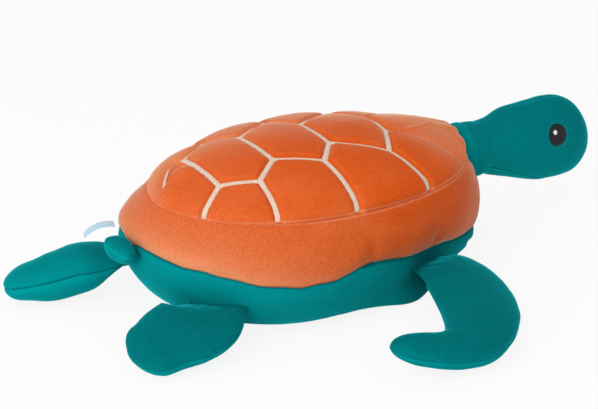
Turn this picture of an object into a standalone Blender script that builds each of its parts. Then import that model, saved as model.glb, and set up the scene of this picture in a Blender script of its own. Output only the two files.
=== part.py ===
"""Plush sea turtle: sewn panels over stuffing, a quilted shell, embroidered eyes and a bare ribbon.

Metres. +X points to the head, +Y to the turtle's left and +Z up. The origin lies in the flat face
that the belly rests on.
"""

import math

import bmesh
import bpy
from mathutils import Matrix, Vector

# Cloth
FABRIC_THICKNESS = 0.0015
SEAM_GAP = 0.0003
ROOT_GAP = 0.00075
FILLING_GAP = 0.0009
SAME_PLACE = 0.0000003

# Body: the belly seam joins the teal belly to the orange side band
BELLY_SEAM_LENGTH = 0.3024
BELLY_SEAM_WIDTH = 0.1992
BELLY_SEAM_TAPER_SHARE = -0.254
BELLY_SEAM_BACK = 0.005
BELLY_SEAM_HEIGHT = 0.0443
BELLY_SEAM_FRONT_DROP = 0.0239
BELLY_SEAM_REAR_RISE = 0.0152
BELLY_FLAT_SHARE = 0.62
BAND_BULGE_SHARE = 0.05

# Body: the dome seam joins the side band to the top panel, and arches over the neck
DOME_SEAM_LENGTH = 0.2612
DOME_SEAM_WIDTH = 0.1744
DOME_SEAM_TAPER_SHARE = -0.068
DOME_SEAM_FORWARD = 0.002
DOME_SEAM_HEIGHT = 0.0852
NECK_ARCH_RISE = 0.011
NECK_ARCH_WIDTH = 0.028
SHELL_HEIGHT = 0.1237
DOME_SHOULDER_SHARE = 0.9

# Head and neck, from the neck's pivot in the shell to the nose
NECK_SEAT_SHARE = 0.76
NECK_PIVOT_DEPTH = 0.004
NECK_HEIGHT = 0.0434
NECK_WIDTH = 0.043
NECK_ROOT_SHARE = 1.27
HEAD_REACH = 0.1258
HEAD_HEIGHT = 0.0696
HEAD_WIDTH = 0.056
GUSSET_WIDTH = 0.03
GUSSET_END_SHARE = 0.83
GUSSET_ROUNDING_SHARE = 1.6
GUSSET_LIMIT_SHARE = 0.9
NOSE_DROP_SHARE = -0.16

# The neck's rounded root, by the angle from its back
NECK_ROOT_ANGLES = tuple(math.radians(a) for a in (0, 30, 60, 88, 118))

# Neck stations: along the head, drop, and growth from the neck's size to the head's
NECK_SHARES = ((0.15, 0.0, 0.0), (0.25, -0.01, 0.19), (0.36, 0.0, 0.54), (0.47, -0.02, 0.77))

# Head stations: along the head, drop, height and width
HEAD_SHARES = (
    (0.58, -0.036, 0.975, 0.985),
    (0.68, -0.043, 1.0, 1.0),
    (0.78, -0.06, 0.975, 0.95),
    (0.87, -0.09, 0.87, 0.81),
    (0.94, -0.13, 0.62, 0.59),
    (0.982, -0.155, 0.36, 0.34),
)

# Eyes: satin-stitched discs with a small five-cornered highlight
EYE_WIDTH = 0.0178
EYE_ALONG_SHARE = 0.63
EYE_ABOVE_AXIS = 0.0083
STITCH_HEIGHT = 0.001
HIGHLIGHT_WIDTH = 0.0042
HIGHLIGHT_OFFSET = 0.0027
EYE_POINTS = 16
HIGHLIGHT_CORNERS = 5
PATCH_RING_SHARES = (0.0, 0.5, 1.0)

# Scute pattern: satin-stitched lines on the top panel, mirrored about the spine
STITCH_LINE_WIDTH = 0.0054
FINE_LINE_WIDTH = 0.002
SCUTE_REAR_CORNER = (-0.097, 0.0305)
SCUTE_REAR_SIDE = (-0.0704, 0.0454)
SCUTE_REAR_CROSS = (-0.0498, 0.0275)
SCUTE_MIDDLE_SIDE = (-0.0158, 0.0466)
SCUTE_MIDDLE_CROSS = (0.0016, 0.0231)
SCUTE_FRONT_SIDE = (0.041, 0.0484)
SCUTE_FRONT_CROSS = (0.0564, 0.0158)
SCUTE_CHAIN = (
    SCUTE_REAR_CORNER,
    SCUTE_REAR_SIDE,
    SCUTE_REAR_CROSS,
    SCUTE_MIDDLE_SIDE,
    SCUTE_MIDDLE_CROSS,
    SCUTE_FRONT_SIDE,
    SCUTE_FRONT_CROSS,
)
SCUTE_CROSSES = (SCUTE_REAR_CORNER, SCUTE_REAR_CROSS, SCUTE_MIDDLE_CROSS, SCUTE_FRONT_CROSS)

# Rays from the corners down to the dome seam: the turn where each ends, and its width
SCUTE_RAYS = (
    (SCUTE_REAR_CORNER, math.radians(152.8), STITCH_LINE_WIDTH),
    (SCUTE_REAR_SIDE, math.radians(124.2), STITCH_LINE_WIDTH),
    (SCUTE_MIDDLE_SIDE, math.radians(95.8), STITCH_LINE_WIDTH),
    (SCUTE_FRONT_SIDE, math.radians(64.7), STITCH_LINE_WIDTH),
    (SCUTE_FRONT_CROSS, math.radians(36), FINE_LINE_WIDTH),
)
RAY_END_CLIMB = math.radians(4)
RAY_STEPS = 8
SCUTE_STEP = 0.011

# Front flippers: crescents that sweep back
FRONT_ROOT_TURN_SHARE = 0.375
FRONT_ROOT_HEIGHT = 0.029
FRONT_REACH = 0.1
FRONT_WIDTH = 0.065
FRONT_THICKNESS = 0.027
FRONT_DROOP_ANGLE = math.radians(9)

# Outlines from root to tip: outward and forward by the reach, then width and thickness
FRONT_SHARES = (
    (0.0, -0.005, 0.74, 0.08),
    (0.219, 0.029, 0.852, 0.85),
    (0.607, -0.2, 0.936, 1.0),
    (0.831, -0.566, 0.737, 1.0),
    (0.806, -0.858, 0.545, 0.85),
    (0.495, -1.157, 0.432, 0.7),
)

# Rear flippers: paddles; the right one is tucked further under the belly
REAR_ROOT_HEIGHT = 0.03
REAR_WIDTH = 0.064
REAR_RIGHT_TURN_SHARE = 0.792
REAR_RIGHT_REACH = 0.0717
REAR_RIGHT_THICKNESS = 0.03
REAR_RIGHT_DROOP_ANGLE = math.radians(17)
REAR_RIGHT_SHARES = (
    (0.0, 0.076, 0.795, 0.075),
    (0.288, -0.109, 1.028, 0.8),
    (0.516, -0.308, 0.946, 1.0),
    (0.665, -0.445, 0.815, 0.9),
    (0.791, -0.617, 0.697, 0.7),
)
REAR_LEFT_TURN_SHARE = 0.875
REAR_LEFT_REACH = 0.0915
REAR_LEFT_THICKNESS = 0.0366
REAR_LEFT_DROOP_ANGLE = math.radians(12)
REAR_LEFT_TWIST_ANGLE = math.radians(-12)
REAR_LEFT_SHARES = (
    (0.0, 0.0, 0.66, 0.06),
    (0.29, -0.05, 0.87, 0.93),
    (0.575, -0.13, 0.8, 1.0),
    (0.785, -0.15, 0.79, 0.76),
    (0.995, -0.12, 0.66, 0.6),
)

# Tail: a nub gathered at its root
TAIL_HEIGHT = 0.0565
TAIL_REACH = 0.0152
TAIL_WIDTH = 0.0336
TAIL_THICKNESS = 0.0178
TAIL_DROOP_ANGLE = math.radians(-19)
TAIL_SHARES = (
    (0.0, 0.34, 0.78, 0.2),
    (0.35, 0.38, 0.94, 1.0),
    (0.7, 0.42, 0.98, 0.95),
    (1.0, 0.46, 0.84, 0.7),
)

# Ribbon: it leaves the belly seam beside the tail and curls down
RIBBON_LENGTH = 0.0257
RIBBON_WIDTH = 0.012
RIBBON_THICKNESS = 0.0004
RIBBON_GAP = 0.0009
RIBBON_TURN_SHARE = 0.885
RIBBON_START_ANGLE = math.radians(15)
RIBBON_END_ANGLE = math.radians(-50)
RIBBON_STEPS = 8

# Rings and columns of the forms
BODY_COLUMNS = 48
BELLY_CLIMBS = tuple(math.radians(a) for a in (0, 25, 46, 63, 74, 90))
BAND_SHARES = (0.5,)
DOME_CLIMBS = tuple(math.radians(a) for a in (0, 15, 33, 55))
HEAD_COLUMNS = 16
GUSSET_COLUMNS = 4
LIMB_COLUMNS = 5
LIMB_STEPS = 9
LIMB_CROWDING = 1.25
LIMB_ROOT_SHARE = 0.4
LIMB_TIP_SHARE = 0.8
PATH_STEP_SHARE = 0.01
SOCKET_COLUMNS = 32
SOCKET_RINGS = 16
DIRECTION_STEP = math.radians(1)
LEAST_CORNER_ANGLE = math.radians(5)
SHARP_EDGE_ANGLE = math.radians(40)
HALVINGS = 40

ORANGE_PLUSH = (0.72, 0.1, 0.012, 1.0)
ORANGE_BAND_PLUSH = (0.75, 0.17, 0.045, 1.0)
TEAL_PLUSH = (0.0, 0.16, 0.17, 1.0)
CREAM_THREAD = (0.87, 0.7, 0.45, 1.0)
NEAR_BLACK_THREAD = (0.012, 0.011, 0.016, 1.0)
WHITE_THREAD = (0.85, 0.86, 0.9, 1.0)
STUFFING_WHITE = (0.8, 0.8, 0.78, 1.0)
RIBBON_BLUE = (0.35, 0.62, 0.8, 1.0)


def clear_scene():
    """Removes whatever the scene holds."""
    for thing in list(bpy.data.objects):
        bpy.data.objects.remove(thing, do_unlink=True)


def matte_material(name, colour, roughness):
    """A cloth or thread material of one colour."""
    material = bpy.data.materials.new(name)
    material.use_nodes = True
    shader = material.node_tree.nodes["Principled BSDF"]
    shader.inputs["Base Color"].default_value = colour
    shader.inputs["Roughness"].default_value = roughness
    shader.inputs["Metallic"].default_value = 0.0
    return material


def add_object(name, mesh_data, colour, frame=None, roughness=0.9):
    """Puts a mesh in the scene under its name, shaded smooth, with its own material."""
    thing = bpy.data.objects.new(name, mesh_data)
    mesh_data.shade_smooth()
    mesh_data.set_sharp_from_angle(angle=SHARP_EDGE_ANGLE)
    mesh_data.materials.append(matte_material(name, colour, roughness))
    bpy.context.scene.collection.objects.link(thing)
    if frame is not None:
        thing.matrix_world = frame
    return thing


def grid_faces(mesh, rows, wraps):
    """Adds a grid of points as faces, with coinciding neighbours made one. Returns the vertex grid."""
    made = {}
    grid = []
    for row in rows:
        line = []
        for point in row:
            key = tuple(round(value, 7) for value in point)
            if key not in made:
                made[key] = mesh.verts.new(point)
            line.append(made[key])
        grid.append(line + line[:1] if wraps else line)
    for lower, upper in zip(grid, grid[1:]):
        for a, b, c, d in zip(lower, lower[1:], upper[1:], upper):
            for corners in ((a, b, c), (a, c, d)):
                if len(set(corners)) == 3:
                    mesh.faces.new(corners)
    return grid


def finished(mesh):
    """Turns the faces outwards and returns the mesh data."""
    bmesh.ops.recalc_face_normals(mesh, faces=mesh.faces)
    data = bpy.data.meshes.new("form")
    mesh.to_mesh(data)
    mesh.free()
    return data


def solid_of(rows):
    """A closed solid round its rings, with flat ends where the end ring isn't a single point."""
    mesh = bmesh.new()
    grid = grid_faces(mesh, rows, wraps=True)
    for line in (grid[0], grid[-1]):
        corners = list(dict.fromkeys(line))
        if len(corners) > 2:
            mesh.faces.new(corners)
    return finished(mesh)


def cloth_of(outer_rows, inner_rows, wraps=False):
    """A sheet of cloth between two matching grids, closed by a wall along its edges."""
    mesh = bmesh.new()
    outer = grid_faces(mesh, outer_rows, wraps)
    edges = [edge for edge in mesh.edges if edge.is_boundary]
    inner = grid_faces(mesh, inner_rows, wraps)
    below = {}
    for outer_line, inner_line in zip(outer, inner):
        below.update(zip(outer_line, inner_line))
    for edge in edges:
        first, second = edge.verts
        mesh.faces.new((first, second, below[second], below[first]))
    return finished(mesh)


def is_pole(row):
    """Whether all the points of a row are one point."""
    return all((point - row[0]).length < SAME_PLACE for point in row)


def drawn_back(rows, near, far):
    """The shift of each point of an edge row towards the next row, by half a seam gap."""
    if is_pole(rows[near]):
        return [Vector()] * len(rows[near])
    return [(b - a).normalized() * SEAM_GAP / 2 for a, b in zip(rows[near], rows[far])]


class StuffedForm:
    """A closed surface of rings, and the direction inwards at each of its points."""

    def __init__(self, rings):
        self.rings = rings
        mesh = bmesh.new()
        grid = grid_faces(mesh, rings, wraps=True)
        bmesh.ops.recalc_face_normals(mesh, faces=mesh.faces)
        mesh.normal_update()
        self.inwards = [[-vertex.normal.copy() for vertex in line[:-1]] for line in grid]
        mesh.free()

    def layer(self, depth):
        """The rings at this depth below the surface."""
        return [
            [point + inward * depth for point, inward in zip(ring, inwards)]
            for ring, inwards in zip(self.rings, self.inwards)
        ]

    def panel(self, first_ring, last_ring, first_column=0, last_column=None):
        """A panel of cloth between seams, drawn back by half a gap along each of them."""
        wraps = last_column is None
        layers = []
        for depth in (0, FABRIC_THICKNESS):
            rows = self.layer(depth)[first_ring : last_ring + 1]
            if not wraps:
                rows = [(row + row[:1])[first_column : last_column + 1] for row in rows]
            layers.append(rows)
        outer = layers[0]
        shifts = [[Vector() for _ in row] for row in outer]
        for near, far in ((0, 1), (-1, -2)):
            for shift, pull in zip(shifts[near], drawn_back(outer, near, far)):
                shift += pull
            if not wraps:
                columns = [list(column) for column in zip(*outer)]
                for line, pull in zip(shifts, drawn_back(columns, near, far)):
                    line[near] += pull
        moved = [
            [[p + s for p, s in zip(row, line)] for row, line in zip(rows, shifts)] for rows in layers
        ]
        return cloth_of(moved[0], moved[1], wraps)


def egg(turn, length, width, taper_share):
    """A point of an egg-shaped plan curve. Turn 0 is its front."""
    across = math.sin(turn) * (1 + taper_share * math.cos(turn))
    return length / 2 * math.cos(turn), width / 2 * across


def belly_seam(turn):
    """A point of the seam between the belly and the side band."""
    x, y = egg(turn, BELLY_SEAM_LENGTH, BELLY_SEAM_WIDTH, BELLY_SEAM_TAPER_SHARE)
    forward = math.cos(turn)
    rise = -BELLY_SEAM_FRONT_DROP if forward > 0 else BELLY_SEAM_REAR_RISE
    return Vector((x - BELLY_SEAM_BACK, y, BELLY_SEAM_HEIGHT + rise * forward**2))


def dome_seam(turn):
    """A point of the seam between the side band and the top panel."""
    x, y = egg(turn, DOME_SEAM_LENGTH, DOME_SEAM_WIDTH, DOME_SEAM_TAPER_SHARE)
    arch = NECK_ARCH_RISE * math.exp(-((y / NECK_ARCH_WIDTH) ** 2)) if math.cos(turn) > 0 else 0
    return Vector((x + DOME_SEAM_FORWARD, y, DOME_SEAM_HEIGHT + arch))


def belly_point(turn, climb):
    """A point of the belly, from its flat face at climb 0 to the seam at a quarter turn."""
    seam = belly_seam(turn)
    share = BELLY_FLAT_SHARE + (1 - BELLY_FLAT_SHARE) * math.sin(climb)
    return Vector((seam.x * share, seam.y * share, seam.z * (1 - math.cos(climb))))


def band_point(turn, share):
    """A point of the side band, from the belly seam at 0 to the dome seam at 1."""
    point = belly_seam(turn).lerp(dome_seam(turn), share)
    bulge = 1 + BAND_BULGE_SHARE * math.sin(math.pi * share)
    return Vector((point.x * bulge, point.y * bulge, point.z))


def dome_point(turn, climb):
    """A point of the dome, from its seam at climb 0 to its top at a quarter turn."""
    seam = dome_seam(turn)
    share = math.cos(climb) ** DOME_SHOULDER_SHARE
    x = DOME_SEAM_FORWARD + (seam.x - DOME_SEAM_FORWARD) * share
    return Vector((x, seam.y * share, seam.z + (SHELL_HEIGHT - seam.z) * math.sin(climb)))


def body_form():
    """The stuffed body, from the middle of its flat face to the top of the dome."""
    turns = [2 * math.pi * column / BODY_COLUMNS for column in range(BODY_COLUMNS)]
    rings = [[Vector((0, 0, 0))] * BODY_COLUMNS]
    rings += [[belly_point(turn, climb) for turn in turns] for climb in BELLY_CLIMBS]
    rings += [[band_point(turn, share) for turn in turns] for share in BAND_SHARES]
    rings += [[dome_point(turn, climb) for turn in turns] for climb in DOME_CLIMBS]
    rings += [[Vector((DOME_SEAM_FORWARD, 0, SHELL_HEIGHT))] * BODY_COLUMNS]
    return StuffedForm(rings)


def neck_pivot():
    """The point inside the shell's front that the neck bends about."""
    seat = band_point(0, NECK_SEAT_SHARE)
    return Vector((seat.x - NECK_PIVOT_DEPTH, 0, seat.z))


def neck_root_radius():
    """The radius of the neck's rounded root."""
    return NECK_ROOT_SHARE * max(NECK_HEIGHT, NECK_WIDTH) / 2


def neck_socket():
    """A hidden ball that cuts the neck's seat out of the shell."""
    mesh = bmesh.new()
    radius = neck_root_radius() + 2 * SEAM_GAP
    bmesh.ops.create_uvsphere(
        mesh, u_segments=SOCKET_COLUMNS, v_segments=SOCKET_RINGS, radius=radius
    )
    data = bpy.data.meshes.new("neck_socket")
    mesh.to_mesh(data)
    mesh.free()
    cutter = bpy.data.objects.new("neck_socket", data)
    bpy.context.scene.collection.objects.link(cutter)
    cutter.location = neck_pivot()
    cutter.hide_render = True
    cutter.display_type = "WIRE"
    return cutter


def cut(thing, cutter):
    """Cuts one object's shape out of another."""
    modifier = thing.modifiers.new("seat", "BOOLEAN")
    modifier.operation = "DIFFERENCE"
    modifier.object = cutter


def make_body():
    """The body's four panels and its stuffing, with the neck's seat cut out."""
    form = body_form()
    belly_ring = len(BELLY_CLIMBS)
    dome_ring = belly_ring + len(BAND_SHARES) + 1
    top_ring = len(form.rings) - 1
    half = BODY_COLUMNS // 2
    add_object("belly_panel", form.panel(0, belly_ring), TEAL_PLUSH)
    left = add_object(
        "shell_side_band_left", form.panel(belly_ring, dome_ring, 0, half), ORANGE_BAND_PLUSH
    )
    right = add_object(
        "shell_side_band_right",
        form.panel(belly_ring, dome_ring, half, BODY_COLUMNS),
        ORANGE_BAND_PLUSH,
    )
    top = add_object("shell_top_panel", form.panel(dome_ring, top_ring), ORANGE_PLUSH)
    filling = add_object(
        "body_filling", solid_of(form.layer(FABRIC_THICKNESS + SEAM_GAP)), STUFFING_WHITE
    )
    socket = neck_socket()
    for piece in (left, right, top, filling):
        cut(piece, socket)


def above_dome(x, y, height):
    """The point this high above the top panel, square to its cloth, over a point of the plan."""
    inner, outer = 0.0, 2.0
    for _ in range(HALVINGS):
        share = (inner + outer) / 2
        forward = (x - DOME_SEAM_FORWARD) / (share * DOME_SEAM_LENGTH / 2)
        turn = math.acos(max(-1.0, min(1.0, forward)))
        _, edge = egg(turn, DOME_SEAM_LENGTH, DOME_SEAM_WIDTH, DOME_SEAM_TAPER_SHARE)
        if abs(forward) > 1 or share * edge < abs(y):
            inner = share
        else:
            outer = share
    turn = math.copysign(turn, y)
    climb = math.acos(min(1.0, share) ** (1 / DOME_SHOULDER_SHARE))
    step = DIRECTION_STEP
    around = dome_point(turn + step, climb) - dome_point(turn - step, climb)
    upwards = dome_point(turn, climb) - dome_point(turn, climb - step)
    return dome_point(turn, climb) + around.cross(upwards).normalized() * height


def scute_ray(corner, turn):
    """The places along a ray, straight in plan, which crowd together as the dome steepens."""
    end = dome_point(turn, RAY_END_CLIMB).xy
    shares = [1 - (1 - step / RAY_STEPS) ** 2 for step in range(RAY_STEPS + 1)]
    return [Vector(corner).lerp(end, share) for share in shares]


def scute_lines():
    """The stitched lines of the pattern, each a start, an end and a width, in plan."""
    half = [(*ends, STITCH_LINE_WIDTH) for ends in zip(SCUTE_CHAIN, SCUTE_CHAIN[1:])]
    for corner, turn, width in SCUTE_RAYS:
        ray = scute_ray(corner, turn)
        half += [(*ends, width) for ends in zip(ray, ray[1:])]
    lines = []
    for side in (1, -1):
        lines += [((a[0], side * a[1]), (b[0], side * b[1]), width) for a, b, width in half]
    lines += [((x, y), (x, -y), STITCH_LINE_WIDTH) for x, y in SCUTE_CROSSES]
    return [(Vector(start), Vector(end), width) for start, end, width in lines]


def corner_between(node, one, other):
    """Where the facing edges of two stitched lines from one node meet, going anticlockwise.

    Each line is its way from the node and its width.
    """
    a, b = one[0].normalized(), other[0].normalized()
    left = Vector((-a.y, a.x)) * one[1] / 2
    right = Vector((b.y, -b.x)) * other[1] / 2
    turn = a.x * b.y - a.y * b.x
    if abs(turn) < math.sin(LEAST_CORNER_ANGLE):
        return node + left
    gap = right - left
    return node + left + a * ((gap.x * b.y - gap.y * b.x) / turn)


def lines_around(lines):
    """The lines that leave each node, anticlockwise, as their way from it and their width."""
    around = {}
    for start, end, width in lines:
        around.setdefault(start.freeze(), []).append((end - start, width))
        around.setdefault(end.freeze(), []).append((start - end, width))
    for spokes in around.values():
        spokes.sort(key=lambda spoke: math.atan2(spoke[0].y, spoke[0].x))
    return around


def embroidery_plan(lines):
    """The flat faces of the network, as lists of plan points, with mitred corners at its nodes."""
    corners = {}
    faces = []
    for node, spokes in lines_around(lines).items():
        if len(spokes) == 1:
            way, width = spokes[0]
            side = Vector((-way.y, way.x)).normalized() * width / 2
            corners[node, tuple(way)] = (node - side, node + side)
            continue
        following = spokes[1:] + spokes[:1]
        meets = [corner_between(node, one, other) for one, other in zip(spokes, following)]
        for number, (way, _) in enumerate(spokes):
            corners[node, tuple(way)] = (meets[number - 1], meets[number])
        if len(spokes) > 2:
            faces.append(meets)
    for start, end, _ in lines:
        right, left = corners[start, tuple(end - start)]
        far_left, far_right = corners[end, tuple(start - end)]
        steps = max(1, round((end - start).length / SCUTE_STEP))
        for step in range(steps):
            near, far = step / steps, (step + 1) / steps
            face = [right.lerp(far_right, near), right.lerp(far_right, far)]
            face += [left.lerp(far_left, far), left.lerp(far_left, near)]
            faces.append(face)
    return faces


def make_embroidery():
    """The network of satin-stitched lines, lying on the top panel."""
    mesh = bmesh.new()
    layers = []
    for height in (SEAM_GAP + STITCH_HEIGHT, SEAM_GAP):
        layers.append({})
        for face in embroidery_plan(scute_lines()):
            line = []
            for point in face:
                key = (round(point.x, 6), round(point.y, 6))
                if key not in layers[-1]:
                    layers[-1][key] = mesh.verts.new(above_dome(point.x, point.y, height))
                line.append(layers[-1][key])
            mesh.faces.new(line)
        if len(layers) == 1:
            edges = [edge for edge in mesh.edges if edge.is_boundary]
    below = {upper: layers[1][key] for key, upper in layers[0].items()}
    for edge in edges:
        first, second = edge.verts
        mesh.faces.new((first, second, below[second], below[first]))
    add_object("shell_embroidery", finished(mesh), CREAM_THREAD, roughness=0.6)


def head_stations():
    """Places along the neck and head: forward of the pivot, height of the middle, and half sizes."""
    root = neck_root_radius()
    stations = []
    for angle in NECK_ROOT_ANGLES:
        across = root * math.sin(angle)
        stations.append((-root * math.cos(angle), 0.0, across, across))
    for along, drop, growth in NECK_SHARES:
        high = NECK_HEIGHT + (HEAD_HEIGHT - NECK_HEIGHT) * growth
        wide = NECK_WIDTH + (HEAD_WIDTH - NECK_WIDTH) * growth
        stations.append((along * HEAD_REACH, drop * HEAD_HEIGHT, high / 2, wide / 2))
    for along, drop, high, wide in HEAD_SHARES:
        half_height, half_width = high * HEAD_HEIGHT / 2, wide * HEAD_WIDTH / 2
        stations.append((along * HEAD_REACH, drop * HEAD_HEIGHT, half_height, half_width))
    stations.append((HEAD_REACH, NOSE_DROP_SHARE * HEAD_HEIGHT, 0.0, 0.0))
    return stations


def gusset_angle(along, half_width):
    """The angle from the crown at which the throat gusset's seam lies."""
    left = 1 - along / (GUSSET_END_SHARE * HEAD_REACH)
    if left <= 0 or half_width <= 0:
        return math.pi
    half_gusset = GUSSET_WIDTH / 2 * math.sqrt(min(1.0, GUSSET_ROUNDING_SHARE * left))
    return math.pi - math.asin(min(GUSSET_LIMIT_SHARE, half_gusset / half_width))


def head_form():
    """The stuffed head and neck, from the back of its rounded root to the nose."""
    pivot = neck_pivot()
    side = (HEAD_COLUMNS - GUSSET_COLUMNS) // 2
    rings = []
    for along, drop, half_height, half_width in head_stations():
        seam = gusset_angle(max(along, 0), half_width)
        angles = [seam * column / side for column in range(side)]
        step = 2 * (math.pi - seam) / GUSSET_COLUMNS
        angles += [seam + step * column for column in range(GUSSET_COLUMNS)]
        angles += [2 * math.pi - seam + seam * column / side for column in range(side)]
        rings.append(
            [
                pivot
                + Vector((along, half_width * math.sin(a), drop + half_height * math.cos(a)))
                for a in angles
            ]
        )
    return StuffedForm(rings)


def head_section(x):
    """The middle height and half sizes of the head at a place along it."""
    stations = head_stations()
    along = x - neck_pivot().x
    for near, far in zip(stations, stations[1:]):
        if near[0] <= along <= far[0]:
            share = (along - near[0]) / (far[0] - near[0])
            return [a + (b - a) * share for a, b in zip(near[1:], far[1:])]
    return list(stations[-1][1:])


def head_side(x, z, lift):
    """How far out the head's side is at this place, and this much above its cloth."""
    middle, half_height, half_width = head_section(x)
    share = (z - neck_pivot().z - middle) / half_height
    return half_width * math.sqrt(max(0.0, 1 - share * share)) + lift


def stitched_disc(centre_x, centre_z, outline, side, lift):
    """A stitched patch on one side of the head, with its outline's points round its centre."""
    layers = []
    for height in (lift + STITCH_HEIGHT, lift):
        rows = []
        for share in PATCH_RING_SHARES:
            row = []
            for x, z in outline:
                place_x, place_z = centre_x + x * share, centre_z + z * share
                out = head_side(place_x, place_z, height)
                row.append(Vector((place_x, side * out, place_z)))
            rows.append(row)
        layers.append(rows)
    return cloth_of(layers[0], layers[1], wraps=True)


def even_outline(width, points):
    """Even points round a patch this wide, from its top, as steps forward and up."""
    turns = [2 * math.pi * point / points for point in range(points)]
    return [(-width / 2 * math.sin(turn), width / 2 * math.cos(turn)) for turn in turns]


def make_eyes():
    """The two stitched eyes, each with its highlight behind and above the middle."""
    centre_x = neck_pivot().x + EYE_ALONG_SHARE * HEAD_REACH
    centre_z = neck_pivot().z + EYE_ABOVE_AXIS
    spark_x, spark_z = centre_x - HIGHLIGHT_OFFSET, centre_z + HIGHLIGHT_OFFSET
    disc = even_outline(EYE_WIDTH, EYE_POINTS)
    spark = even_outline(HIGHLIGHT_WIDTH, HIGHLIGHT_CORNERS)
    above_eye = 2 * SEAM_GAP + STITCH_HEIGHT
    pieces = []
    for name, side in (("left", 1), ("right", -1)):
        eye = stitched_disc(centre_x, centre_z, disc, side, SEAM_GAP)
        highlight = stitched_disc(spark_x, spark_z, spark, side, above_eye)
        pieces.append(add_object("eye_" + name, eye, NEAR_BLACK_THREAD, roughness=0.45))
        name = "eye_highlight_" + name
        pieces.append(add_object(name, highlight, WHITE_THREAD, roughness=0.5))
    return pieces


def neck_joint():
    """An empty on the neck's pivot, which carries everything on the head."""
    joint = bpy.data.objects.new("neck_joint", None)
    bpy.context.scene.collection.objects.link(joint)
    joint.location = neck_pivot()
    return joint


def carried_by(joint, pieces):
    """Parents pieces to a joint's empty, where they stand."""
    for piece in pieces:
        piece.parent = joint
        piece.matrix_parent_inverse = Matrix.Translation(joint.location).inverted()


def make_head():
    """The head's side panels, throat gusset, stuffing and eyes, all carried by the neck's joint."""
    form = head_form()
    side = (HEAD_COLUMNS - GUSSET_COLUMNS) // 2
    nose = len(form.rings) - 1
    open_end = 1
    stations = head_stations()
    tip = next(
        i for i, station in enumerate(stations) if station[0] >= GUSSET_END_SHARE * HEAD_REACH
    )
    panels = {
        "head_side_panel_left": form.panel(open_end, nose, 0, side),
        "head_side_panel_right": form.panel(open_end, nose, HEAD_COLUMNS - side, HEAD_COLUMNS),
        "throat_gusset": form.panel(open_end, tip, side, HEAD_COLUMNS - side),
    }
    pieces = [add_object(name, data, TEAL_PLUSH) for name, data in panels.items()]
    stuffing = solid_of(form.layer(FABRIC_THICKNESS + SEAM_GAP))
    pieces.append(add_object("head_filling", stuffing, STUFFING_WHITE))
    carried_by(neck_joint(), pieces + make_eyes())


def smooth_path(points, share):
    """A place on the smooth curve through these tuples, which end points continue straight."""
    spans = len(points) - 1
    index = min(int(share * spans), spans - 1)
    t = share * spans - index
    before = points[index - 1] if index > 0 else [2 * a - b for a, b in zip(points[0], points[1])]
    p, q = points[index], points[index + 1]
    beyond = [2 * b - a for a, b in zip(p, q)] if index + 2 > spans else points[index + 2]
    place = []
    for a, b, c, d in zip(before, p, q, beyond):
        curve = 2 * b + (c - a) * t + (2 * a - 5 * b + 4 * c - d) * t**2
        place.append((curve + (3 * b - a - 3 * c + d) * t**3) / 2)
    return place


def path_direction(points, share):
    """The way that the smooth curve runs at a place along it, in plan."""
    ahead = smooth_path(points, min(1.0, share + PATH_STEP_SHARE))
    behind = smooth_path(points, max(0.0, share - PATH_STEP_SHARE))
    return Vector((ahead[0] - behind[0], ahead[1] - behind[1])).normalized()


def sewn_inset(size, depth):
    """A half size taken this far in, or by half where the cloth closes on itself."""
    return size - depth * min(1.0, size / (2 * depth)) if depth else size


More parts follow.
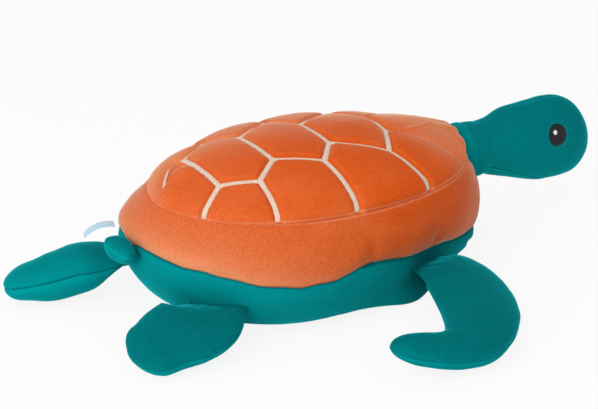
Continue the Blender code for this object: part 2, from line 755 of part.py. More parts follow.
class Limb:
    """A flat stuffed limb of two panels over stuffing, and where it is sewn to the body."""

    def __init__(self, name, side, outline_shares, sizes, root, twist=0.0):
        """Side is 1 for the left. Root is its turn share, its height and how far the limb droops."""
        self.name = name
        self.side = side
        self.outline_shares = outline_shares
        self.reach, self.width, self.thickness = sizes
        self.turn_share, self.height, self.droop = root
        self.twist = twist

    def frame(self):
        """The frame at the root: x outwards and drooping, y along the hinge, z up."""
        turn = -math.pi * self.turn_share
        climb = math.acos(max(-1.0, 1 - self.height / belly_seam(turn).z))
        ahead, behind = belly_seam(turn + DIRECTION_STEP), belly_seam(turn - DIRECTION_STEP)
        along = (ahead - behind).to_2d().normalized()
        outward = Vector((along.y, -along.x, 0))
        root = belly_point(turn, climb) + outward * ROOT_GAP
        down = outward * math.cos(self.droop) - Vector((0, 0, math.sin(self.droop)))
        if self.side > 0:
            root.y, down.y = -root.y, -down.y
        rise = (Vector((0, 0, 1)) - down * down.z).normalized()
        frame = Matrix((down, rise.cross(down), rise)).transposed().to_4x4()
        frame.translation = root
        return frame

    def ring(self, share, depth, lift, angles):
        """A ring across the limb, this deep below its cloth. The root's ring lies along the hinge."""
        out, forward, wide, thick = smooth_path(self.outline_shares, share)
        line = path_direction(self.outline_shares, share)
        turned = min(1.0, share / LIMB_ROOT_SHARE)
        across = Vector((0, 1)).lerp(Vector((-line.y, line.x)), turned).normalized()
        rounding = max(0.0, (share - LIMB_TIP_SHARE) / (1 - LIMB_TIP_SHARE))
        close = math.sqrt(max(0.0, 1 - rounding**2))
        half_width = sewn_inset(wide * self.width / 2, depth) * close
        half_thick = sewn_inset(thick * self.thickness / 2, depth) * close
        centre = Vector((out, forward)) * self.reach - line * depth * share
        turn = Matrix.Rotation(self.twist * turned, 2)
        ring = []
        for angle in angles:
            flat = Vector((half_width * math.cos(angle), lift + half_thick * math.sin(angle)))
            level, rise = turn @ flat
            place = centre + across * level
            ring.append(Vector((place.x, -self.side * place.y, rise)))
        return ring

    def rings(self, depth, lift, angles):
        """All the rings from the root to the tip, closer together near the tip."""
        steps = [(1 - step / LIMB_STEPS) ** LIMB_CROWDING for step in range(LIMB_STEPS + 1)]
        return [self.ring(1 - left, depth, lift, angles) for left in steps]

    def panel(self, face):
        """The upper panel for face 1, or the lower one for face -1."""
        first = 0 if face > 0 else LIMB_COLUMNS
        columns = range(first, first + LIMB_COLUMNS + 1)
        angles = [math.pi * column / LIMB_COLUMNS for column in columns]
        lift = face * SEAM_GAP / 2
        return cloth_of(self.rings(0, lift, angles), self.rings(FABRIC_THICKNESS, lift, angles))

    def filling(self):
        """The stuffing between the panels."""
        angles = [math.pi * column / LIMB_COLUMNS for column in range(2 * LIMB_COLUMNS)]
        return solid_of(self.rings(FABRIC_THICKNESS + FILLING_GAP, 0, angles)[1:])

    def make(self):
        """Makes the limb's pieces, with their origins on the hinge."""
        frame = self.frame()
        add_object(self.name + "_upper_panel", self.panel(1), TEAL_PLUSH, frame)
        add_object(self.name + "_lower_panel", self.panel(-1), TEAL_PLUSH, frame)
        add_object(self.name + "_filling", self.filling(), STUFFING_WHITE, frame)


def front_flipper(name, side):
    """A front flipper, a crescent that sweeps back."""
    sizes = (FRONT_REACH, FRONT_WIDTH, FRONT_THICKNESS)
    root = (FRONT_ROOT_TURN_SHARE, FRONT_ROOT_HEIGHT, FRONT_DROOP_ANGLE)
    return Limb(name, side, FRONT_SHARES, sizes, root)


def rear_flipper_right():
    """The right rear flipper, a paddle tucked under the belly."""
    sizes = (REAR_RIGHT_REACH, REAR_WIDTH, REAR_RIGHT_THICKNESS)
    root = (REAR_RIGHT_TURN_SHARE, REAR_ROOT_HEIGHT, REAR_RIGHT_DROOP_ANGLE)
    return Limb("rear_flipper_right", -1, REAR_RIGHT_SHARES, sizes, root)


def rear_flipper_left():
    """The left rear flipper, a paddle that lies turned towards its rear edge."""
    sizes = (REAR_LEFT_REACH, REAR_WIDTH, REAR_LEFT_THICKNESS)
    root = (REAR_LEFT_TURN_SHARE, REAR_ROOT_HEIGHT, REAR_LEFT_DROOP_ANGLE)
    return Limb("rear_flipper_left", 1, REAR_LEFT_SHARES, sizes, root, REAR_LEFT_TWIST_ANGLE)


def tail():
    """The tail nub behind the belly seam."""
    sizes = (TAIL_REACH, TAIL_WIDTH, TAIL_THICKNESS)
    return Limb("tail", -1, TAIL_SHARES, sizes, (1, TAIL_HEIGHT, TAIL_DROOP_ANGLE))


def make_limbs():
    """The four flippers and the tail."""
    limbs = [front_flipper("front_flipper_right", -1), front_flipper("front_flipper_left", 1)]
    limbs += [rear_flipper_right(), rear_flipper_left(), tail()]
    for limb in limbs:
        limb.make()


def ribbon_edges(outward, across, face):
    """The ribbon's crossings from the seam to its free end, on its upper face 1 or lower face -1."""
    place = Vector((0, 0, 0))
    crossings = []
    for step in range(RIBBON_STEPS + 1):
        slope = RIBBON_START_ANGLE + (RIBBON_END_ANGLE - RIBBON_START_ANGLE) * step / RIBBON_STEPS
        along = outward * math.cos(slope) + Vector((0, 0, math.sin(slope)))
        middle = place + along.cross(across) * face * RIBBON_THICKNESS / 2
        side = across * RIBBON_WIDTH / 2
        crossings.append([middle - side, middle + side])
        place = place + along * RIBBON_LENGTH / RIBBON_STEPS
    return crossings


def make_ribbon():
    """The bare ribbon, sewn into the belly seam beside the tail."""
    seam = belly_seam(math.pi * RIBBON_TURN_SHARE)
    outward = Vector((seam.x, seam.y, 0)).normalized()
    across = Vector((-outward.y, outward.x, 0))
    ribbon = cloth_of(ribbon_edges(outward, across, 1), ribbon_edges(outward, across, -1))
    frame = Matrix.Translation(seam + outward * RIBBON_GAP)
    add_object("seam_ribbon", ribbon, RIBBON_BLUE, frame, roughness=0.35)


def main():
    """Builds the turtle."""
    clear_scene()
    make_body()
    make_embroidery()
    make_head()
    make_limbs()
    make_ribbon()


if __name__ == "__main__":
    main()
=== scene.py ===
"""Looks of the plush sea turtle: brushed pile, quilted shell, satin stitching and a bare ribbon.

Metres. +X points to the head, +Y to the turtle's left and +Z up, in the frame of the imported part.
"""

import logging
import math
from dataclasses import dataclass
from enum import Enum
from typing import Sequence

import bpy
import numpy as np
from mathutils import Matrix, Vector, noise


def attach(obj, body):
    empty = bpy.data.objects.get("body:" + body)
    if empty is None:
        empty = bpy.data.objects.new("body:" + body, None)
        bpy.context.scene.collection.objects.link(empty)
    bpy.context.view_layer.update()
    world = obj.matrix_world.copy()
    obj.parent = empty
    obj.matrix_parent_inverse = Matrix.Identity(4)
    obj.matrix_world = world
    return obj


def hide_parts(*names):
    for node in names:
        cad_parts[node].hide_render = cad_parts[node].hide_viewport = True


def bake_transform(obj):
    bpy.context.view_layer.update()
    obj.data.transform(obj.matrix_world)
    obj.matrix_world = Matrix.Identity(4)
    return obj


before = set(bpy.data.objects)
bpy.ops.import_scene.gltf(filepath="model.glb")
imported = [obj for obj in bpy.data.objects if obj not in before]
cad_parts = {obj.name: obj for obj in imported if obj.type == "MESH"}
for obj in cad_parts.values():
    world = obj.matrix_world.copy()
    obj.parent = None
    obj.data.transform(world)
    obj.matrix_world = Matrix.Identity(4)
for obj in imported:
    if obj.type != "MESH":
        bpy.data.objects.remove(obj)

LOG = logging.getLogger("turtle")
FABRIC_GAP = 0.0003
Array = np.ndarray


class Slot(Enum):
    """The finishes that the record names."""

    ORANGE = "orange_plush"
    BAND = "orange_band_plush"
    TEAL = "teal_plush"
    CREAM = "cream_thread"
    BLACK = "black_thread"
    WHITE = "white_thread"
    RIBBON = "ribbon"


# ---------------------------------------------------------------- grids of cloth


def unit(vectors: Array) -> Array:
    """The vectors at length one."""
    length = np.linalg.norm(vectors, axis=-1, keepdims=True)
    return vectors / np.maximum(length, 1e-12)


def ramp(values: Array, low: float, high: float) -> Array:
    """A smooth step from 0 at low to 1 at high."""
    share = np.clip((values - low) / (high - low), 0, 1)
    return share * share * (3 - 2 * share)


def ripple(points: Array, size: float, seed: float, detail: int = 1) -> Array:
    """Soft noise between about -1 and 1, the same on every run.

    Args:
        points: Places in metres, with the last axis of length three.
        size: Width of one swell in metres.
        seed: Shifts the noise, so that two uses differ.
        detail: Number of octaves, each half as wide as the one before.

    Returns:
        One value for each place.
    """
    flat = points.reshape(-1, 3)
    total = np.zeros(len(flat))
    for octave in range(detail):
        scaled = flat * (2**octave / size) + (seed * 7.31 + octave * 3.7)
        values = [noise.noise(Vector(place)) for place in scaled.tolist()]
        total += np.array(values) / 1.7**octave
    return total.reshape(points.shape[:-1]) * 1.4


def reach_along(points: Array, axis: int) -> Array:
    """Length along the cloth from its first row or column."""
    steps = np.linalg.norm(np.diff(points, axis=axis), axis=-1)
    start = np.zeros_like(np.take(steps, [0], axis=axis))
    return np.concatenate([start, np.cumsum(steps, axis=axis)], axis=axis)


def grid_normals(points: Array, wraps: bool, inside: Array) -> Array:
    """Unit normals of a grid of points, facing away from a line of inner points.

    Args:
        points: Rows by columns of places.
        wraps: Whether the last column meets the first one.
        inside: A place inside the form, or one for each row.

    Returns:
        Rows by columns of normals.
    """
    if wraps:
        across = np.roll(points, -1, axis=1) - np.roll(points, 1, axis=1)
    else:
        across = np.gradient(points, axis=1)
    along = np.gradient(points, axis=0)
    normals = np.cross(across, along)
    size = np.linalg.norm(normals, axis=-1)
    for row in (0, -1):
        if size[row].max() < 1e-12:
            inner = 1 if row == 0 else -2
            normals[row] = normals[inner].mean(axis=0)
    normals = unit(normals)
    centre = inside if inside.ndim == 1 else inside[:, None, :]
    facing = ((points - centre) * normals).sum(-1).mean()
    return normals if facing > 0 else -normals


class ClothMesh:
    """One piece of cloth or thread, gathered from grids of points."""

    def __init__(self, name: str) -> None:
        """Starts an empty piece under its name."""
        self.name = name
        self.places: list[Array] = []
        self.faces: list[tuple[int, ...]] = []
        self.values: dict[str, list[Array]] = {}
        self.count = 0

    def add_grid(self, points: Array, wraps: bool = False, **values: Array) -> None:
        """Adds a grid of points with faces between them.

        Args:
            points: Rows by columns of places.
            wraps: Whether the last column meets the first one.
            values: Numbers for each place, kept under their names for the finishes.
        """
        rows, columns = points.shape[:2]
        places = points.reshape(-1, 3)
        number = np.arange(rows * columns).reshape(rows, columns) + self.count
        kept = np.ones(rows * columns, bool)
        for row in (0, rows - 1):
            spread = np.linalg.norm(points[row] - points[row, 0], axis=-1).max()
            if spread < 1e-6:
                number[row] = number[row, 0]
                kept[row * columns + 1 : (row + 1) * columns] = False
        shift = np.cumsum(~kept)
        number = number - shift[number - self.count]
        if wraps:
            number = np.concatenate([number, number[:, :1]], axis=1)
        for a, b, c, d in zip(
            number[:-1, :-1].ravel().tolist(),
            number[:-1, 1:].ravel().tolist(),
            number[1:, 1:].ravel().tolist(),
            number[1:, :-1].ravel().tolist(),
        ):
            corners = tuple(dict.fromkeys((a, b, c, d)))
            if len(corners) > 2:
                self.faces.append(corners)
        self.places.append(places[kept])
        for label, value in values.items():
            self.values.setdefault(label, []).append(np.asarray(value).reshape(-1)[kept])
        self.count += int(kept.sum())

    def finish(self, finish: "Finish", inside: Array) -> bpy.types.Object:
        """Makes the mesh, turns its faces outwards and dresses it.

        Args:
            finish: What the piece is made of.
            inside: A place that the faces look away from.

        Returns:
            The new object, linked to the scene.
        """
        mesh = bpy.data.meshes.new(self.name)
        places = np.concatenate(self.places)
        mesh.from_pydata(places.tolist(), [], self.faces)
        for label, parts in self.values.items():
            layer = mesh.attributes.new(label, "FLOAT", "POINT")
            layer.data.foreach_set("value", np.concatenate(parts).astype(np.float32))
        mesh.update()
        normals = np.array([polygon.normal for polygon in mesh.polygons])
        centres = np.array([polygon.center for polygon in mesh.polygons])
        if ((centres - inside) * normals).sum() < 0:
            mesh.flip_normals()
        mesh.shade_smooth()
        mesh.set_sharp_from_angle(angle=math.radians(65))
        thing = bpy.data.objects.new(self.name, mesh)
        bpy.context.scene.collection.objects.link(thing)
        mesh.materials.append(finish.material())
        return thing


# ---------------------------------------------------------------- finishes


class NodeBench:
    """Builds one node material step by step."""

    def __init__(self, name: str) -> None:
        """Starts an empty material with its shader."""
        self.made = bpy.data.materials.new(name)
        self.made.use_nodes = True
        self.tree = self.made.node_tree
        self.tree.nodes.clear()
        self.output = self.tree.nodes.new("ShaderNodeOutputMaterial")
        self.shader = self.tree.nodes.new("ShaderNodeBsdfPrincipled")
        self.wire(self.shader.outputs["BSDF"], self.output.inputs["Surface"])
        self.place = self.tree.nodes.new("ShaderNodeTexCoord").outputs["Object"]

    def wire(self, source: bpy.types.NodeSocket, target: bpy.types.NodeSocket) -> None:
        """Links one socket to another."""
        self.tree.links.new(source, target)

    def stretched(self, shares: Sequence[float], turn: Sequence[float] = (0, 0, 0)) -> bpy.types.NodeSocket:
        """Object coordinates, turned and then scaled by these shares."""
        node = self.tree.nodes.new("ShaderNodeMapping")
        node.inputs["Rotation"].default_value = turn
        node.inputs["Scale"].default_value = shares
        self.wire(self.place, node.inputs["Vector"])
        return node.outputs["Vector"]

    def grain(self, scale: float, detail: float, place: bpy.types.NodeSocket | None = None,
              warp: float = 0.0) -> bpy.types.NodeSocket:
        """Noise of this many swells a metre."""
        node = self.tree.nodes.new("ShaderNodeTexNoise")
        node.inputs["Scale"].default_value = scale
        node.inputs["Detail"].default_value = detail
        node.inputs["Roughness"].default_value = 0.6
        node.inputs["Distortion"].default_value = warp
        self.wire(place or self.place, node.inputs["Vector"])
        return node.outputs["Fac"]

    def threads(self, scale: float, turn: Sequence[float]) -> bpy.types.NodeSocket:
        """Fine parallel ridges of thread."""
        node = self.tree.nodes.new("ShaderNodeTexWave")
        node.wave_type = "BANDS"
        node.bands_direction = "X"
        node.inputs["Scale"].default_value = scale
        node.inputs["Distortion"].default_value = 1.2
        node.inputs["Detail"].default_value = 2.0
        node.inputs["Detail Scale"].default_value = 1.5
        self.wire(self.stretched((1, 1, 1), turn), node.inputs["Vector"])
        return node.outputs["Fac"]

    def attribute(self, name: str) -> bpy.types.NodeSocket:
        """A number kept for each place of the mesh."""
        node = self.tree.nodes.new("ShaderNodeAttribute")
        node.attribute_name = name
        return node.outputs["Fac"]

    def fitted(self, value: bpy.types.NodeSocket, old: Sequence[float],
               new: Sequence[float]) -> bpy.types.NodeSocket:
        """A value moved from one range to another, smoothly and held inside it."""
        node = self.tree.nodes.new("ShaderNodeMapRange")
        node.interpolation_type = "SMOOTHSTEP"
        for socket, number in zip(("From Min", "From Max", "To Min", "To Max"), (*old, *new)):
            node.inputs[socket].default_value = number
        self.wire(value, node.inputs["Value"])
        return node.outputs["Result"]

    def summed(self, one: bpy.types.NodeSocket, other: bpy.types.NodeSocket,
               share: float) -> bpy.types.NodeSocket:
        """One value plus a share of another."""
        node = self.tree.nodes.new("ShaderNodeMath")
        node.operation = "MULTIPLY_ADD"
        self.wire(other, node.inputs[0])
        node.inputs[1].default_value = share
        self.wire(one, node.inputs[2])
        return node.outputs[0]

    def blended(self, share: bpy.types.NodeSocket, first: Sequence[float] | bpy.types.NodeSocket,
                second: Sequence[float]) -> bpy.types.NodeSocket:
        """A colour between two others."""
        node = self.tree.nodes.new("ShaderNodeMix")
        node.data_type = "RGBA"
        self.wire(share, node.inputs["Factor"])
        if isinstance(first, bpy.types.NodeSocket):
            self.wire(first, node.inputs["A"])
        else:
            node.inputs["A"].default_value = (*first, 1.0)
        node.inputs["B"].default_value = (*second, 1.0)
        return node.outputs["Result"]

    def raised(self, height: bpy.types.NodeSocket, strength: float, depth: float) -> None:
        """Gives the shader a bump of this depth in metres."""
        node = self.tree.nodes.new("ShaderNodeBump")
        node.inputs["Strength"].default_value = strength
        node.inputs["Distance"].default_value = depth
        self.wire(height, node.inputs["Height"])
        self.wire(node.outputs["Normal"], self.shader.inputs["Normal"])


class Finish:
    """A finish that makes its material once."""

    name: str

    def material(self) -> bpy.types.Material:
        """The finish's material, made at first use."""
        found = bpy.data.materials.get(self.name)
        return found or self.build()

    def build(self) -> bpy.types.Material:
        """Makes the node material."""
        raise NotImplementedError


@dataclass(frozen=True)
class PlushFinish(Finish):
    """Short pile: grainy up close and softly mottled, with painted light and sheen where the mesh's shares say, painted
    highlights along seams and rims, and painted shade in creases.
    """

    name: str
    pile: tuple[float, float, float]
    deep_pile: tuple[float, float, float]
    # Pale pile tips: the colour of random paler patches, and of the painted light, sheen and highlights.
    dusty_tip: tuple[float, float, float]
    sheen_tint: tuple[float, float, float, float]
    sheen_weight: float = 0.8
    sheen_roughness: float = 0.3
    mottle_size: float = 0.014
    clump_size: float = 0.0032
    fibre_size: float = 0.0011
    nap_share: float = 0.55
    grain_depth: float = 0.0004
    swell_share: float = 0.09
    gloss: float = 0.05

    def build(self) -> bpy.types.Material:
        """Makes the pile's node material."""
        bench = NodeBench(self.name)
        nap = bench.stretched((self.nap_share, 1, 1), (0, 0, 0.3))
        mottle = bench.grain(1 / self.mottle_size, 3, nap, warp=0.4)
        clump = bench.grain(1 / self.clump_size, 2, nap)
        fibre = bench.grain(1 / self.fibre_size, 2)
        tone = bench.summed(bench.summed(fibre, clump, 0.45), mottle, 0.35)
        colour = bench.blended(bench.fitted(tone, (0.6, 1.2), (0, 1)), self.deep_pile, self.pile)
        broad = bench.grain(1 / (4 * self.mottle_size), 2, nap)
        swell = bench.fitted(broad, (0.42, 0.72), (0, self.swell_share))
        colour = bench.blended(swell, colour, self.dusty_tip)
        # Painted light and sheen, read from the mesh, with a little fibre grain.
        dust = bench.summed(bench.attribute("dust"), fibre, 0.5)
        colour = bench.blended(bench.fitted(dust, (0.25, 1.3), (0, 0.95)), colour, self.dusty_tip)
        # Painted highlights along seams, rims and round the eyes.
        worn = bench.summed(bench.attribute("worn"), clump, 0.3)
        colour = bench.blended(bench.fitted(worn, (0.3, 1.25), (0, 0.5)), colour, self.dusty_tip)
        # Painted shade: darker pile in seams, creases, tucks and hidden hems.
        crease = bench.fitted(bench.attribute("crease"), (0.2, 1.0), (0, 0.7))
        colour = bench.blended(crease, colour, tuple(share * 0.45 for share in self.deep_pile))
        bench.wire(colour, bench.shader.inputs["Base Color"])
        bench.shader.inputs["Roughness"].default_value = 0.95
        bench.shader.inputs["Specular IOR Level"].default_value = self.gloss
        bench.shader.inputs["Sheen Weight"].default_value = self.sheen_weight
        bench.shader.inputs["Sheen Roughness"].default_value = self.sheen_roughness
        bench.shader.inputs["Sheen Tint"].default_value = self.sheen_tint
        relief = bench.summed(bench.summed(fibre, clump, 0.7), mottle, 0.4)
        bench.raised(relief, 0.5, self.grain_depth)
        return bench.made


@dataclass(frozen=True)
class ThreadFinish(Finish):
    """Dense satin stitch: close shiny threads side by side."""

    name: str
    thread: tuple[float, float, float]
    shade: tuple[float, float, float]
    thread_width: float = 0.0005
    along_attribute: str = ""
    thread_turn: tuple[float, float, float] = (0.0, 0.0, 0.0)
    roughness: float = 0.5
    sheen_weight: float = 0.25
    gloss: float = 0.3
    relief: float = 0.00022

    def build(self) -> bpy.types.Material:
        """Makes the thread's node material."""
        bench = NodeBench(self.name)
        ridges = self.ridges(bench)
        fuzz = bench.grain(900, 3)
        patch = bench.grain(190, 2)
        # Darker between the threads' ridges as painted shade, and unevenly darker by random fuzz and patches.
        tone = bench.summed(bench.summed(ridges, fuzz, 1.3), patch, 0.9)
        colour = bench.blended(bench.fitted(tone, (0.95, 1.9), (0, 1)), self.shade, self.thread)
        # Painted shade from the crease share: on a stitched line's flank away from the lamp and at its edges, and at
        # the rim of the eye patches.
        edge = bench.fitted(bench.summed(bench.attribute("crease"), fuzz, 0.5), (0.35, 1.0), (0, 0.85))
        colour = bench.blended(edge, colour, self.shade)
        bench.wire(colour, bench.shader.inputs["Base Color"])
        bench.shader.inputs["Roughness"].default_value = self.roughness
        bench.shader.inputs["Specular IOR Level"].default_value = self.gloss
        bench.shader.inputs["Sheen Weight"].default_value = self.sheen_weight
        bench.shader.inputs["Sheen Roughness"].default_value = 0.4
        bench.raised(bench.summed(ridges, fuzz, 0.35), 0.6, self.relief)
        return bench.made

    def ridges(self, bench: NodeBench) -> bpy.types.NodeSocket:
        """The threads' ridges, along the stitched line or straight across a patch."""
        if not self.along_attribute:
            return bench.threads(1 / (self.thread_width * 20), self.thread_turn)
        wave = bench.tree.nodes.new("ShaderNodeMath")
        wave.operation = "SINE"
        turned = bench.tree.nodes.new("ShaderNodeMath")
        turned.operation = "MULTIPLY"
        bench.wire(bench.attribute(self.along_attribute), turned.inputs[0])
        turned.inputs[1].default_value = 2 * math.pi / self.thread_width
        bench.wire(turned.outputs[0], wave.inputs[0])
        return bench.fitted(wave.outputs[0], (-1, 1), (0, 1))


@dataclass(frozen=True)
class RibbonFinish(Finish):
    """Narrow woven satin ribbon with a firm selvedge."""

    name: str
    satin: tuple[float, float, float]
    shade: tuple[float, float, float]
    roughness: float = 0.3

    def build(self) -> bpy.types.Material:
        """Makes the ribbon's node material."""
        bench = NodeBench(self.name)
        weave = bench.threads(1 / 0.009, (0.3, 0.2, 0.9))
        streak = bench.grain(900, 2, bench.stretched((0.25, 1, 1)))
        tone = bench.summed(weave, streak, 0.8)
        colour = bench.blended(bench.fitted(tone, (0.3, 1.3), (0, 1)), self.shade, self.satin)
        # Darker towards the ribbon's edges.
        edge = bench.fitted(bench.attribute("worn"), (0.6, 1), (0, 0.5))
        colour = bench.blended(edge, colour, self.shade)
        bench.wire(colour, bench.shader.inputs["Base Color"])
        bench.shader.inputs["Roughness"].default_value = self.roughness
        bench.shader.inputs["Specular IOR Level"].default_value = 0.6
        bench.shader.inputs["Sheen Weight"].default_value = 0.2
        bench.raised(tone, 0.4, 0.0001)
        return bench.made


def direct_rays(tree: bpy.types.NodeTree) -> bpy.types.NodeSocket:
    """1 for what the camera sees, also through gloss or clear matter, and 0 for the light that falls."""
    path = tree.nodes.new("ShaderNodeLightPath")
    rays = path.outputs["Is Camera Ray"]
    for other in ("Is Glossy Ray", "Is Transmission Ray"):
        total = tree.nodes.new("ShaderNodeMath")
        total.operation = "MAXIMUM"
        tree.links.new(rays, total.inputs[0])
        tree.links.new(path.outputs[other], total.inputs[1])
        rays = total.outputs[0]
    return rays


@dataclass(frozen=True)
class FloorFinish(Finish):
    """Matt white studio floor, evened out to white so that only a faint shadow stays."""

    name: str
    shade: tuple[float, float, float]
    white_share: float = 0.88

    def build(self) -> bpy.types.Material:
        """Makes the floor's node material."""
        bench = NodeBench(self.name)
        cloud = bench.fitted(bench.grain(3, 2), (0.3, 0.7), (0, 1))
        off_white = tuple(share * 0.995 for share in self.shade)
        bench.wire(bench.blended(cloud, off_white, self.shade), bench.shader.inputs["Base Color"])
        bench.shader.inputs["Roughness"].default_value = 0.9
        bench.shader.inputs["Specular IOR Level"].default_value = 0.1
        glow = bench.tree.nodes.new("ShaderNodeEmission")
        glow.inputs["Color"].default_value = (1.0, 1.0, 1.0, 1.0)
        share = bench.tree.nodes.new("ShaderNodeMath")
        share.operation = "MULTIPLY"
        bench.wire(direct_rays(bench.tree), share.inputs[0])
        share.inputs[1].default_value = self.white_share
        mix = bench.tree.nodes.new("ShaderNodeMixShader")
        bench.wire(share.outputs[0], mix.inputs["Fac"])
        bench.wire(bench.shader.outputs["BSDF"], mix.inputs[1])
        bench.wire(glow.outputs["Emission"], mix.inputs[2])
        bench.wire(mix.outputs[0], bench.output.inputs["Surface"])
        return bench.made


@dataclass(frozen=True)
class Wardrobe:
    """Every finish of the turtle."""

    orange: PlushFinish = PlushFinish(
        "orange_plush_pile",
        pile=(0.73, 0.108, 0.011),
        deep_pile=(0.63, 0.078, 0.006),
        dusty_tip=(0.82, 0.34, 0.17),
        sheen_tint=(1.0, 0.76, 0.58, 1.0),
    )
    band: PlushFinish = PlushFinish(
        "orange_band_plush_pile",
        pile=(0.69, 0.103, 0.013),
        deep_pile=(0.58, 0.073, 0.007),
        dusty_tip=(0.82, 0.36, 0.18),
        sheen_tint=(1.0, 0.78, 0.62, 1.0),
    )
    teal: PlushFinish = PlushFinish(
        "teal_plush_pile",
        pile=(0.0, 0.165, 0.178),
        deep_pile=(0.0, 0.125, 0.137),
        dusty_tip=(0.0, 0.29, 0.305),
        sheen_tint=(0.02, 0.92, 1.0, 1.0),
        sheen_weight=0.7,
        sheen_roughness=0.32,
        gloss=0.02,
    )
    cream: ThreadFinish = ThreadFinish(
        "cream_satin_stitch",
        thread=(0.95, 0.84, 0.7),
        shade=(0.64, 0.42, 0.27),
        along_attribute="along",
    )
    black: ThreadFinish = ThreadFinish(
        "near_black_satin_stitch",
        thread=(0.013, 0.012, 0.018),
        shade=(0.004, 0.004, 0.006),
        thread_width=0.00045,
        roughness=0.5,
        sheen_weight=0.02,
        gloss=0.2,
    )
    white: ThreadFinish = ThreadFinish(
        "white_satin_stitch",
        thread=(0.86, 0.87, 0.92),
        shade=(0.6, 0.63, 0.72),
        thread_width=0.00045,
    )
    ribbon: RibbonFinish = RibbonFinish(
        "pale_blue_satin", satin=(0.5, 0.72, 0.84), shade=(0.3, 0.56, 0.74)
    )
    floor: FloorFinish = FloorFinish("white_floor", shade=(0.93, 0.93, 0.93))


# ---------------------------------------------------------------- the body's form


@dataclass(frozen=True)
class BodyShape:
    """The stuffed body: belly, side band and dome, joined at the belly seam and the dome seam."""

    belly_seam_length: float = 0.3024
    belly_seam_width: float = 0.1992
    belly_seam_taper: float = -0.254
    belly_seam_back: float = 0.005
    belly_seam_height: float = 0.0443
    belly_seam_front_drop: float = 0.0239
    belly_seam_rear_rise: float = 0.0152
    belly_flat: float = 0.62
    band_bulge: float = 0.05
    dome_seam_length: float = 0.2612
    dome_seam_width: float = 0.1744
    dome_seam_taper: float = -0.068
    dome_seam_forward: float = 0.002
    dome_seam_height: float = 0.0852
    neck_arch_rise: float = 0.011
    neck_arch_width: float = 0.028
    shell_height: float = 0.1237
    dome_shoulder: float = 0.9

    @staticmethod
    def egg(turn: Array, length: float, width: float, taper: float) -> tuple[Array, Array]:
        """Points of an egg-shaped plan curve. Turn 0 is its front."""
        across = np.sin(turn) * (1 + taper * np.cos(turn))
        return length / 2 * np.cos(turn), width / 2 * across

    def belly_seam(self, turn: Array) -> Array:
        """Points of the seam between the belly and the side band."""
        x, y = self.egg(turn, self.belly_seam_length, self.belly_seam_width, self.belly_seam_taper)
        forward = np.cos(turn)
        rise = np.where(forward > 0, -self.belly_seam_front_drop, self.belly_seam_rear_rise)
        return np.stack([x - self.belly_seam_back, y, self.belly_seam_height + rise * forward**2], -1)

    def dome_seam(self, turn: Array) -> Array:
        """Points of the seam between the side band and the top panel."""
        x, y = self.egg(turn, self.dome_seam_length, self.dome_seam_width, self.dome_seam_taper)
        arch = self.neck_arch_rise * np.exp(-((y / self.neck_arch_width) ** 2))
        arch = np.where(np.cos(turn) > 0, arch, 0.0)
        return np.stack([x + self.dome_seam_forward, y, self.dome_seam_height + arch], -1)

    def belly(self, turn: Array, climb: Array) -> Array:
        """Points of the belly, from its flat face at climb 0 to the seam at a quarter turn."""
        seam = self.belly_seam(turn)
        share = self.belly_flat + (1 - self.belly_flat) * np.sin(climb)
        height = seam[..., 2] * (1 - np.cos(climb))
        return np.stack([seam[..., 0] * share, seam[..., 1] * share, height], -1)

    def band(self, turn: Array, share: Array) -> Array:
        """Points of the side band, from the belly seam at 0 to the dome seam at 1."""
        low, high = self.belly_seam(turn), self.dome_seam(turn)
        place = low + (high - low) * share[..., None]
        bulge = 1 + self.band_bulge * np.sin(np.pi * share)
        return place * np.stack([bulge, bulge, np.ones_like(bulge)], -1)

    def dome(self, turn: Array, climb: Array) -> Array:
        """Points of the dome, from its seam at climb 0 to its top at a quarter turn."""
        seam = self.dome_seam(turn)
        share = np.maximum(np.cos(climb), 0.0) ** self.dome_shoulder
        x = self.dome_seam_forward + (seam[..., 0] - self.dome_seam_forward) * share
        height = seam[..., 2] + (self.shell_height - seam[..., 2]) * np.sin(climb)
        return np.stack([x, seam[..., 1] * share, height], -1)

    def locate(self, x: Array, y: Array) -> tuple[Array, Array]:
        """The turn and climb of the dome's points over these plan points."""
        inner, outer = np.zeros_like(x), np.full_like(x, 2.0)
        for _ in range(46):
            share = (inner + outer) / 2
            forward = (x - self.dome_seam_forward) / (share * self.dome_seam_length / 2)
            turn = np.arccos(np.clip(forward, -1, 1))
            edge = self.egg(turn, self.dome_seam_length, self.dome_seam_width, self.dome_seam_taper)[1]
            short = (np.abs(forward) > 1) | (share * edge < np.abs(y))
            inner, outer = np.where(short, share, inner), np.where(short, outer, share)
        climb = np.arccos(np.minimum(share, 1.0) ** (1 / self.dome_shoulder))
        return np.copysign(turn, y), climb

    def dome_frame(self, turn: Array, climb: Array) -> tuple[Array, Array]:
        """Points of the dome with the unit normals there."""
        step = 0.01
        around = self.dome(turn + step, climb) - self.dome(turn - step, climb)
        upwards = self.dome(turn, climb) - self.dome(turn, climb - step)
        return self.dome(turn, climb), unit(np.cross(around, upwards))

    def neck_pivot(self) -> Array:
        """The point inside the shell's front that the neck bends about."""
        seat = self.band(np.array(0.0), np.array(0.76))
        return np.array([seat[0] - 0.004, 0.0, seat[2]])


